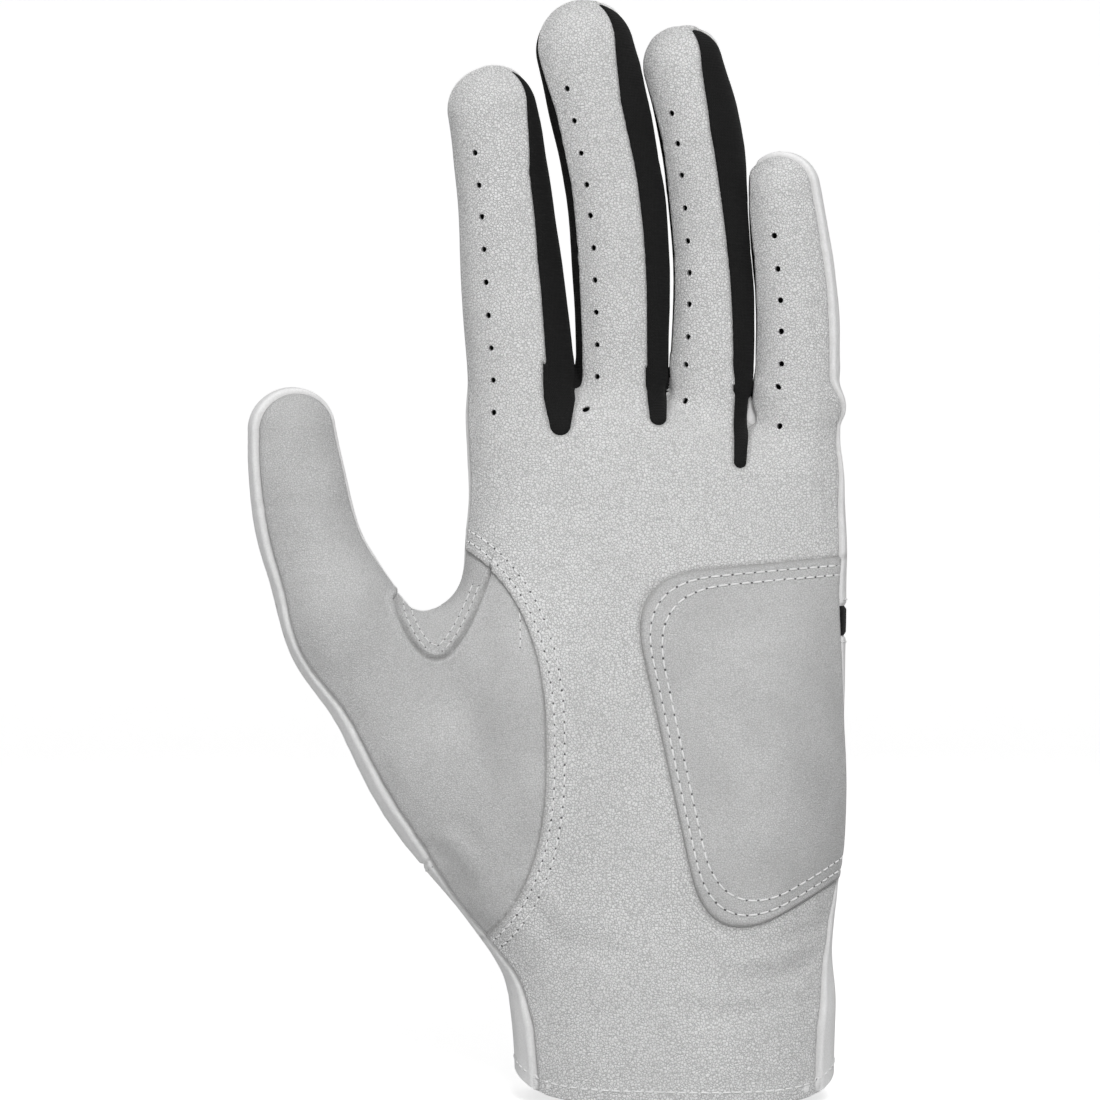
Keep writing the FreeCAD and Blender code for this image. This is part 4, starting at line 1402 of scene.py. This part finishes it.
# A stem's rings: how far it leans, its height over the glove's leather and its radius, in mm.
HOOK_RINGS = [(0.0, 1.4, 0.2), (0.0, 1.15, 0.17), (0.15, 0.98, 0.15), (0.38, 1.02, 0.08)]
stems = [(x, z) for x in np.arange(6, 25, HOOK_PITCH) for z in np.arange(17.5, 37, HOOK_PITCH)]
stems = np.array([s for s in stems if np.hypot(max(s[0] - 19, 0), max(abs(s[1] - 27) - 4, 0)) < 7.0])
root, out = behind(stems[:, 0], stems[:, 1])
ring = np.radians(np.arange(HOOK_SIDES) * 360 / HOOK_SIDES)
parts = []
for lean, height_mm, radius in HOOK_RINGS:
    for turn in ring:
        shift = np.array([lean + radius * math.cos(turn), 0.0, radius * math.sin(turn)])
        parts.append(root + out * height_mm + shift)
hooks = many("hook_stems", np.stack(parts, 1), tube_faces(len(HOOK_RINGS), HOOK_SIDES))
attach(hooks, "tab")
print("hooks:", len(stems))

# %% [markdown]
# Finishes. The palm is thin sheepskin with a pebbled grain; the thumb is the same skin tanned greyer and
# finer, and the heel patch has that finer grey finish with its grey as painted shade; the back is smoother.
# The side strips are a black stretch knit.
# A finish could be a picture wrapped on the surface. Here each is worked out from the rest place of every
# point in millimetres, so grain has its true size everywhere and doesn't swim when a finger bends.
# What several finishes share is a node group with named inputs and outputs, and the shader stays outside.


# %% Small helpers for nodes
def new_group(name, inputs, outputs):
    """A node group with float inputs (name, default) and outputs (name, kind)."""
    tree = bpy.data.node_groups.new(name, "ShaderNodeTree")
    for label, default in inputs:
        socket = tree.interface.new_socket(label, in_out="INPUT", socket_type="NodeSocketFloat")
        socket.default_value = default
    for label, kind in outputs:
        tree.interface.new_socket(label, in_out="OUTPUT", socket_type=kind)
    return tree, tree.nodes.new("NodeGroupInput"), tree.nodes.new("NodeGroupOutput")


def add(tree, kind, links=None, **settings):
    """A node with settings on its fields and links or values on its inputs."""
    node = tree.nodes.new(kind)
    for key, value in settings.items():
        setattr(node, key, value)
    for key, value in (links or {}).items():
        if isinstance(value, bpy.types.NodeSocket):
            tree.links.new(value, node.inputs[key])
        else:
            node.inputs[key].default_value = value
    return node


def math_node(tree, operation, a, b=0.0, clamp=False):
    """One sum on two numbers or sockets."""
    return add(tree, "ShaderNodeMath", {0: a, 1: b}, operation=operation, use_clamp=clamp).outputs[0]


def remap(tree, value, low, high, to_low=0.0, to_high=1.0):
    """A soft step of a value from one range to another."""
    links = {"Value": value, "From Min": low, "From Max": high, "To Min": to_low, "To Max": to_high}
    return add(tree, "ShaderNodeMapRange", links, interpolation_type="SMOOTHSTEP").outputs[0]


def mix_colours(tree, share, a, b):
    """Two colours mixed by a share."""
    node = add(tree, "ShaderNodeMix", data_type="RGBA")
    for socket, value in ((node.inputs[0], share), (node.inputs[6], a), (node.inputs[7], b)):
        if isinstance(value, bpy.types.NodeSocket):
            tree.links.new(value, socket)
        else:
            socket.default_value = value
    return node.outputs[2]


def rest_place(tree, size):
    """The rest place of a point, in units of a size in mm."""
    place = add(tree, "ShaderNodeAttribute", attribute_name="rest").outputs["Vector"]
    inverse = math_node(tree, "DIVIDE", 1.0, size)
    return add(tree, "ShaderNodeVectorMath", {0: place, "Scale": inverse}, operation="SCALE").outputs[0]


# %% The pebbled grain of leather
PEBBLE_GRAIN, g_in, g_out = new_group(
    "pebble_grain",
    [("Pebble Size", 0.9), ("Crackle", 0.5), ("Pores", 0.3)],
    [("Height", "NodeSocketFloat"), ("Valleys", "NodeSocketFloat")],
)
tree = PEBBLE_GRAIN
place = rest_place(tree, g_in.outputs["Pebble Size"])
drift = add(tree, "ShaderNodeTexNoise", {"Vector": place, "Scale": 0.6, "Detail": 2.0})
links = {0: drift.outputs["Color"], 1: (0.5, 0.5, 0.5)}
bent = add(tree, "ShaderNodeVectorMath", links, operation="SUBTRACT")
links = {0: bent.outputs[0], 1: (1.1, 1.1, 1.1), 2: place}
bent = add(tree, "ShaderNodeVectorMath", links, operation="MULTIPLY_ADD")
links = {"Vector": bent.outputs[0], "Scale": 1.0}
cells = add(tree, "ShaderNodeTexVoronoi", links, feature="DISTANCE_TO_EDGE")
small = add(tree, "ShaderNodeTexVoronoi", {"Vector": bent.outputs[0], "Scale": 2.3}, feature="SMOOTH_F1")
domes = remap(tree, cells.outputs["Distance"], 0.0, 0.2)
broken = add(tree, "ShaderNodeTexNoise", {"Vector": place, "Scale": 1.7, "Detail": 4.0, "Roughness": 0.65})
mixed = math_node(tree, "MULTIPLY", domes, remap(tree, broken.outputs["Fac"], 0.25, 0.6, 0.55, 1.0))
inner = math_node(tree, "MULTIPLY", small.outputs["Distance"], g_in.outputs["Crackle"])
pores = add(tree, "ShaderNodeTexNoise", {"Vector": place, "Scale": 6.5, "Detail": 3.0})
pores = math_node(tree, "MULTIPLY", remap(tree, pores.outputs["Fac"], 0.35, 0.62), g_in.outputs["Pores"])
total = math_node(tree, "ADD", math_node(tree, "SUBTRACT", mixed, inner), pores)
tree.links.new(total, g_out.inputs["Height"])
# Valleys marks where the grain sinks; the leathers paint shade into their colour there and roughen it.
valleys = remap(tree, math_node(tree, "SUBTRACT", mixed, inner), 0.3, -0.1)
tree.links.new(valleys, g_out.inputs["Valleys"])

# %% Tone: slow change of tone, and painted shade in the seams
TONE_AND_SEAM_SHADE, h_in, h_out = new_group(
    "tone_and_seam_shade",
    [("Cloud Size", 18.0), ("Seam Reach", 1.1)],
    [("Clouds", "NodeSocketFloat"), ("Seam Shade", "NodeSocketFloat"), ("Speckle", "NodeSocketFloat")],
)
tree = TONE_AND_SEAM_SHADE
place = rest_place(tree, h_in.outputs["Cloud Size"])
clouds = add(tree, "ShaderNodeTexNoise", {"Vector": place, "Scale": 1.0, "Detail": 4.0, "Roughness": 0.55})
tree.links.new(remap(tree, clouds.outputs["Fac"], 0.3, 0.7), h_out.inputs["Clouds"])
# Seam Shade is painted shade: it darkens the colour near the seams.
seam = add(tree, "ShaderNodeAttribute", attribute_name="seam").outputs["Fac"]
uneven = add(tree, "ShaderNodeTexNoise", {"Vector": place, "Scale": 9.0, "Detail": 2.0}).outputs["Fac"]
reach = math_node(tree, "MULTIPLY", h_in.outputs["Seam Reach"], math_node(tree, "ADD", uneven, 0.5))
tree.links.new(remap(tree, math_node(tree, "DIVIDE", seam, reach), 1.0, 0.0), h_out.inputs["Seam Shade"])
speckle = add(tree, "ShaderNodeTexNoise", {"Vector": place, "Scale": 42.0, "Detail": 2.0}).outputs["Fac"]
tree.links.new(remap(tree, speckle, 0.35, 0.65), h_out.inputs["Speckle"])

# %% Stretch knit
# Two crossed waves give the loops of a fine warp knit, and a noise breaks their evenness.
KNIT, k_in, k_out = new_group(
    "knit",
    [("Loop Size", 0.55), ("Fuzz", 0.4)],
    [("Height", "NodeSocketFloat"), ("Gaps", "NodeSocketFloat")],
)
tree = KNIT
place = rest_place(tree, k_in.outputs["Loop Size"])
parts = add(tree, "ShaderNodeSeparateXYZ", {0: place})
flat = math_node(tree, "ADD", parts.outputs[0], parts.outputs[1])
slant = math_node(tree, "ADD", flat, parts.outputs[2])
slant = math_node(tree, "SINE", math_node(tree, "MULTIPLY", slant, 3.1416))
other = math_node(tree, "SUBTRACT", flat, parts.outputs[2])
other = math_node(tree, "SINE", math_node(tree, "MULTIPLY", other, 3.1416))
loops = math_node(tree, "MULTIPLY", slant, other)
fuzz = add(tree, "ShaderNodeTexNoise", {"Vector": place, "Scale": 2.6, "Detail": 4.0}).outputs["Fac"]
fuzz = math_node(tree, "MULTIPLY", math_node(tree, "SUBTRACT", fuzz, 0.5), k_in.outputs["Fuzz"])
height_out = math_node(tree, "ADD", loops, fuzz)
tree.links.new(height_out, k_out.inputs["Height"])
tree.links.new(remap(tree, height_out, 0.1, -0.8), k_out.inputs["Gaps"])

# %% Woven tape
# Ribs across the tape and finer yarns along it.
WEAVE, w_in, w_out = new_group(
    "weave",
    [("Yarn Size", 0.45), ("Rib Share", 0.6)],
    [("Height", "NodeSocketFloat"), ("Gaps", "NodeSocketFloat")],
)
tree = WEAVE
place = rest_place(tree, w_in.outputs["Yarn Size"])
parts = add(tree, "ShaderNodeSeparateXYZ", {0: place})
along = math_node(tree, "ADD", parts.outputs[0], math_node(tree, "MULTIPLY", parts.outputs[1], 0.9))
warp = math_node(tree, "SINE", math_node(tree, "MULTIPLY", along, 6.2832))
weft = math_node(tree, "SINE", math_node(tree, "MULTIPLY", parts.outputs[2], 6.2832))
rib = math_node(tree, "MULTIPLY", warp, w_in.outputs["Rib Share"])
yarn_share = math_node(tree, "SUBTRACT", 1.0, w_in.outputs["Rib Share"])
cloth = math_node(tree, "ADD", rib, math_node(tree, "MULTIPLY", weft, yarn_share))
tree.links.new(cloth, w_out.inputs["Height"])
tree.links.new(remap(tree, cloth, 0.0, -0.9), w_out.inputs["Gaps"])


# %% Leathers
def grey(value, warm=0.0):
    """A grey of one linear brightness, a touch warmer or cooler."""
    return (value * (1 + warm), value, value * (1 - warm), 1.0)


def start_material(name):
    """A material with its Principled shader."""
    material = bpy.data.materials.new(name)
    material.use_nodes = True
    tree = material.node_tree
    return material, tree, tree.nodes["Principled BSDF"]


def use(tree, group, **values):
    """A group placed in a material with its own values."""
    node = add(tree, "ShaderNodeGroup", node_tree=group)
    for key, value in values.items():
        node.inputs[key.replace("_", " ")].default_value = value
    return node


def finish_surface(tree, shader, colour, rough, height, depth_mm):
    """Colour, roughness and bump into the shader."""
    bump = add(tree, "ShaderNodeBump", {"Height": height, "Distance": depth_mm * MM, "Strength": 1.0})
    tree.links.new(colour, shader.inputs["Base Color"])
    tree.links.new(rough, shader.inputs["Roughness"])
    tree.links.new(bump.outputs[0], shader.inputs["Normal"])


def leather_finish(name, bright, dim, pebble, depth_mm, rough, crackle, pores, valley_shade_share):
    """A leather: grain, clouds of tone, painted shade in the grain's valleys and painted shade in the seams.
    """
    material, tree, shader = start_material(name)
    grain = use(tree, PEBBLE_GRAIN, Pebble_Size=pebble, Crackle=crackle, Pores=pores)
    tone = use(tree, TONE_AND_SEAM_SHADE)
    colour = mix_colours(tree, tone.outputs["Clouds"], dim, bright)
    # Painted shade: the colour darkens in the grain's valleys.
    valley_shade = math_node(tree, "MULTIPLY", grain.outputs["Valleys"], valley_shade_share)
    colour = mix_colours(tree, valley_shade, colour, grey(dim[1] * 0.5))
    # Painted shade: the colour darkens near the seams.
    shade = math_node(tree, "MULTIPLY", tone.outputs["Seam Shade"], 0.4)
    colour = mix_colours(tree, shade, colour, grey(dim[1] * 0.35, 0.02))
    worn = remap(tree, tone.outputs["Clouds"], 0.0, 1.0, rough + 0.05, rough - 0.05)
    roughness = math_node(tree, "ADD", worn, math_node(tree, "MULTIPLY", grain.outputs["Valleys"], 0.12))
    finish_surface(tree, shader, colour, roughness, grain.outputs["Height"], depth_mm)
    shader.inputs["Specular IOR Level"].default_value = 0.3
    shader.inputs["Sheen Weight"].default_value = 0.06
    shader.inputs["Sheen Roughness"].default_value = 0.4
    return material


# Each leather: its two tones, pebble size and depth in mm, roughness, crackle, pores, painted shade of the
# valleys.
LEATHERS = {
    "white_leather": (grey(0.88), grey(0.83), 0.62, 0.17, 0.55, 0.55, 0.25, 0.7),
    "grey_leather": (grey(0.65), grey(0.57), 0.5, 0.09, 0.58, 0.6, 0.3, 0.45),
    "back_leather": (grey(0.85), grey(0.81), 0.75, 0.025, 0.48, 0.3, 0.3, 0.12),
    "tab_leather": (grey(0.80), grey(0.74), 0.7, 0.035, 0.46, 0.4, 0.3, 0.2),
}
MATERIALS = {name: leather_finish(name, *values) for name, values in LEATHERS.items()}


# %% Fabrics and trims
def fabric_finish(name, group, size_name, size, bright, dim, depth_mm, rough, sheen, gap_shade_share=0.6):
    """A fabric: loops or yarns, painted shade in the gaps, clouds of tone and a soft sheen."""
    material, tree, shader = start_material(name)
    cloth = use(tree, group, **{size_name: size})
    tone = use(tree, TONE_AND_SEAM_SHADE, Cloud_Size=9.0)
    colour = mix_colours(tree, tone.outputs["Clouds"], dim, bright)
    # Painted shade: the colour darkens in the gaps between loops or yarns.
    gap_shade = math_node(tree, "MULTIPLY", cloth.outputs["Gaps"], gap_shade_share)
    colour = mix_colours(tree, gap_shade, colour, grey(dim[1] * 0.35))
    worn = remap(tree, tone.outputs["Speckle"], 0.0, 1.0, rough - 0.04, rough + 0.05)
    finish_surface(tree, shader, colour, worn, cloth.outputs["Height"], depth_mm)
    shader.inputs["Specular IOR Level"].default_value = 0.3
    shader.inputs["Sheen Weight"].default_value = sheen
    shader.inputs["Sheen Roughness"].default_value = 0.35
    return material


MATERIALS["stretch_fabric"] = fabric_finish(
    "stretch_fabric", KNIT, "Loop_Size", 0.62, grey(0.004), grey(0.003), 0.06, 0.85, 0.02
)
MATERIALS["binding_tape"] = fabric_finish(
    "binding_tape", WEAVE, "Yarn_Size", 0.5, grey(0.80), grey(0.73), 0.03, 0.6, 0.1, 0.25
)
MATERIALS["lining_fabric"] = fabric_finish(
    "lining_fabric", KNIT, "Loop_Size", 0.7, grey(0.62), grey(0.52), 0.05, 0.85, 0.2
)
MATERIALS["elastic"] = fabric_finish(
    "elastic", WEAVE, "Yarn_Size", 0.6, grey(0.72), grey(0.62), 0.06, 0.75, 0.15
)
MATERIALS["label_fabric"] = fabric_finish(
    "label_fabric", WEAVE, "Yarn_Size", 0.28, grey(0.78), grey(0.7), 0.02, 0.45, 0.1
)
MATERIALS["thread"] = fabric_finish(
    "thread", WEAVE, "Yarn_Size", 0.3, grey(0.84), grey(0.78), 0.03, 0.6, 0.1, 0.2
)
# Needle holes: dark discs, painted shade for the holes between stitches.
MATERIALS["needle_hole_shade"] = fabric_finish(
    "needle_hole_shade", KNIT, "Loop_Size", 0.3, grey(0.17), grey(0.1), 0.02, 0.9, 0.0
)


def pile_finish():
    """Brushed loops: curls of many sizes, with painted shade at the low roots and lighter tips."""
    material, tree, shader = start_material("loop_pad")
    place = rest_place(tree, 0.5)
    links = {"Vector": place, "Scale": 1.0, "Detail": 5.0, "Distortion": 2.4}
    curls = add(tree, "ShaderNodeTexNoise", links).outputs["Fac"]
    # Painted shade: the colour follows the noise that raises the pile, darker where it is low.
    colour = mix_colours(tree, remap(tree, curls, 0.35, 0.65), grey(0.42), grey(0.76))
    rough = remap(tree, curls, 0.2, 0.8, 0.95, 0.8)
    finish_surface(tree, shader, colour, rough, curls, 0.35)
    shader.inputs["Sheen Weight"].default_value = 0.35
    return material


def moulded_finish(name, bright, dim, rough):
    """Moulded rubber or plastic: a fine matt texture and faint flow clouds."""
    material, tree, shader = start_material(name)
    tone = use(tree, TONE_AND_SEAM_SHADE, Cloud_Size=5.0)
    colour = mix_colours(tree, tone.outputs["Clouds"], dim, bright)
    grit = use(tree, PEBBLE_GRAIN, Pebble_Size=0.25, Pores=0.6)
    roughness = remap(tree, tone.outputs["Speckle"], 0.0, 1.0, rough - 0.05, rough + 0.08)
    finish_surface(tree, shader, colour, roughness, grit.outputs["Height"], 0.012)
    return material


MATERIALS["loop_pad"] = pile_finish()
MATERIALS["hook_pad"] = moulded_finish("hook_pad", grey(0.72), grey(0.64), 0.42)
MATERIALS["emblem_rubber"] = moulded_finish("emblem_rubber", grey(0.03), grey(0.018), 0.5)
print("materials:", sorted(MATERIALS))

# %% Which finish each piece has
FINISH = {
    "thenar_panel": "grey_leather",
    # The heel patch is white leather; the grey of its finish is painted shade.
    "heel_patch": "grey_leather",
    "knuckle_band": "stretch_fabric",
    "closure_tab": "tab_leather",
    "tab_anchor": "tab_leather",
    "slit_binding": "binding_tape",
    "cuff_binding": "binding_tape",
    "cuff_facing": "lining_fabric",
    "wrist_elastic": "elastic",
    "size_label": "label_fabric",
    "loop_patch": "loop_pad",
    "hook_patch": "hook_pad",
    "tab_emblem": "emblem_rubber",
}


def dress(piece, finish):
    """Gives a piece its material."""
    piece.data.materials.append(MATERIALS[finish])


for name, piece in panels.items():
    finish = FINISH.get(name)
    if finish is None and (name.startswith("web") or "strip" in name):
        finish = "stretch_fabric"
    if finish is None and name.startswith("thumb") and "front" in name:
        finish = "grey_leather"
    if finish is None and ("back" in name):
        finish = "back_leather"
    dress(piece, finish or "white_leather")
for piece in threads.values():
    dress(piece, "thread")
for piece in needle_hole_shades.values():
    dress(piece, "needle_hole_shade")
dress(hooks, "hook_pad")

# %% [markdown]
# The stage. The glove stands on its cuff in front of a pale sweep, lit as for a catalogue:
# a broad soft light from the front, a weaker one from the left, and one from the ceiling.
# White leather on white paper needs the paper brighter than the leather. A strong light on the paper
# would also light the glove from behind and flatten it, so the paper adds brightness of its own, and
# only to the rays that come from the camera.

# %% Floor and backdrop
# The sweep runs all the way round, so that every side of the glove is seen in front of the same paper.
FLOOR = -0.0014
FLAT_RADIUS = 1.4
CURVE_RADIUS = 0.7
WALL_TOP = 1.3
SWEEP = [(0.002, FLOOR), (0.4, FLOOR), (FLAT_RADIUS, FLOOR)]
for t in np.radians(np.linspace(0, 90, 12)[1:]):
    SWEEP.append((FLAT_RADIUS + CURVE_RADIUS * math.sin(t), FLOOR + CURVE_RADIUS * (1 - math.cos(t))))
SWEEP.append((FLAT_RADIUS + CURVE_RADIUS, WALL_TOP))
SWEEP_SIDES = 72
ring = np.radians(np.arange(SWEEP_SIDES) * 360 / SWEEP_SIDES)
sweep_points = np.array([(r * math.cos(a), r * math.sin(a), z) for r, z in SWEEP for a in ring]) / MM
sweep_faces = []
for k in range(len(SWEEP) - 1):
    for j in range(SWEEP_SIDES):
        p, q = k * SWEEP_SIDES + j, k * SWEEP_SIDES + (j + 1) % SWEEP_SIDES
        sweep_faces += [(p, p + SWEEP_SIDES, q + SWEEP_SIDES), (p, q + SWEEP_SIDES, q)]
sweep = make_mesh("studio_sweep", sweep_points, np.array(sweep_faces))
material, tree, shader = start_material("pale_paper")
place = rest_place(tree, 60.0)
paper = add(tree, "ShaderNodeTexNoise", {"Vector": place, "Scale": 1.0, "Detail": 3.0}).outputs["Fac"]
tree.links.new(mix_colours(tree, paper, grey(0.58), grey(0.60)), shader.inputs["Base Color"])
shader.inputs["Roughness"].default_value = 0.9
shader.inputs["Emission Color"].default_value = grey(0.72)
tree.links.new(add(tree, "ShaderNodeLightPath").outputs["Is Camera Ray"], shader.inputs["Emission Strength"])
sweep.data.materials.append(material)

# %% Lights
# The key light is large and close to the lens, so the leather darkens where it turns away at the edges.
scene = bpy.context.scene
scene.view_settings.view_transform = "Standard"
world = bpy.data.worlds.new("studio")
scene.world = world
world.use_nodes = True
world.node_tree.nodes["Background"].inputs["Color"].default_value = (1.0, 1.0, 1.0, 1.0)
world.node_tree.nodes["Background"].inputs["Strength"].default_value = 0.25
middle_point = (Vector(cad_box[0]) + Vector(cad_box[1])) / 2


def soft_light(name, place, size, energy):
    """A square soft light that faces the glove."""
    lamp = bpy.data.lights.new(name, "AREA")
    lamp.size = size
    lamp.energy = energy
    holder = bpy.data.objects.new(name, lamp)
    bpy.context.collection.objects.link(holder)
    holder.location = place
    holder.rotation_euler = (middle_point - Vector(place)).to_track_quat("-Z", "Y").to_euler()
    holder.visible_camera = False


soft_light("key", (0.15, -1.1, 0.8), 0.4, 11.5)
soft_light("fill", (-0.9, -0.6, 0.35), 0.5, 1.6)
soft_light("ceiling", (0.0, 0.0, 1.9), 3.0, 12.0)

# %% Camera
VIEW_SPAN = 0.2442
CAMERA_BACK = 0.8
camera = bpy.data.cameras.new("camera")
camera.lens = camera.sensor_width * CAMERA_BACK / VIEW_SPAN
camera_holder = bpy.data.objects.new("camera", camera)
bpy.context.collection.objects.link(camera_holder)
camera_holder.location = (-0.0275, -CAMERA_BACK, 0.1199)
camera_holder.rotation_euler = (math.pi / 2, 0, 0)
scene.camera = camera_holder
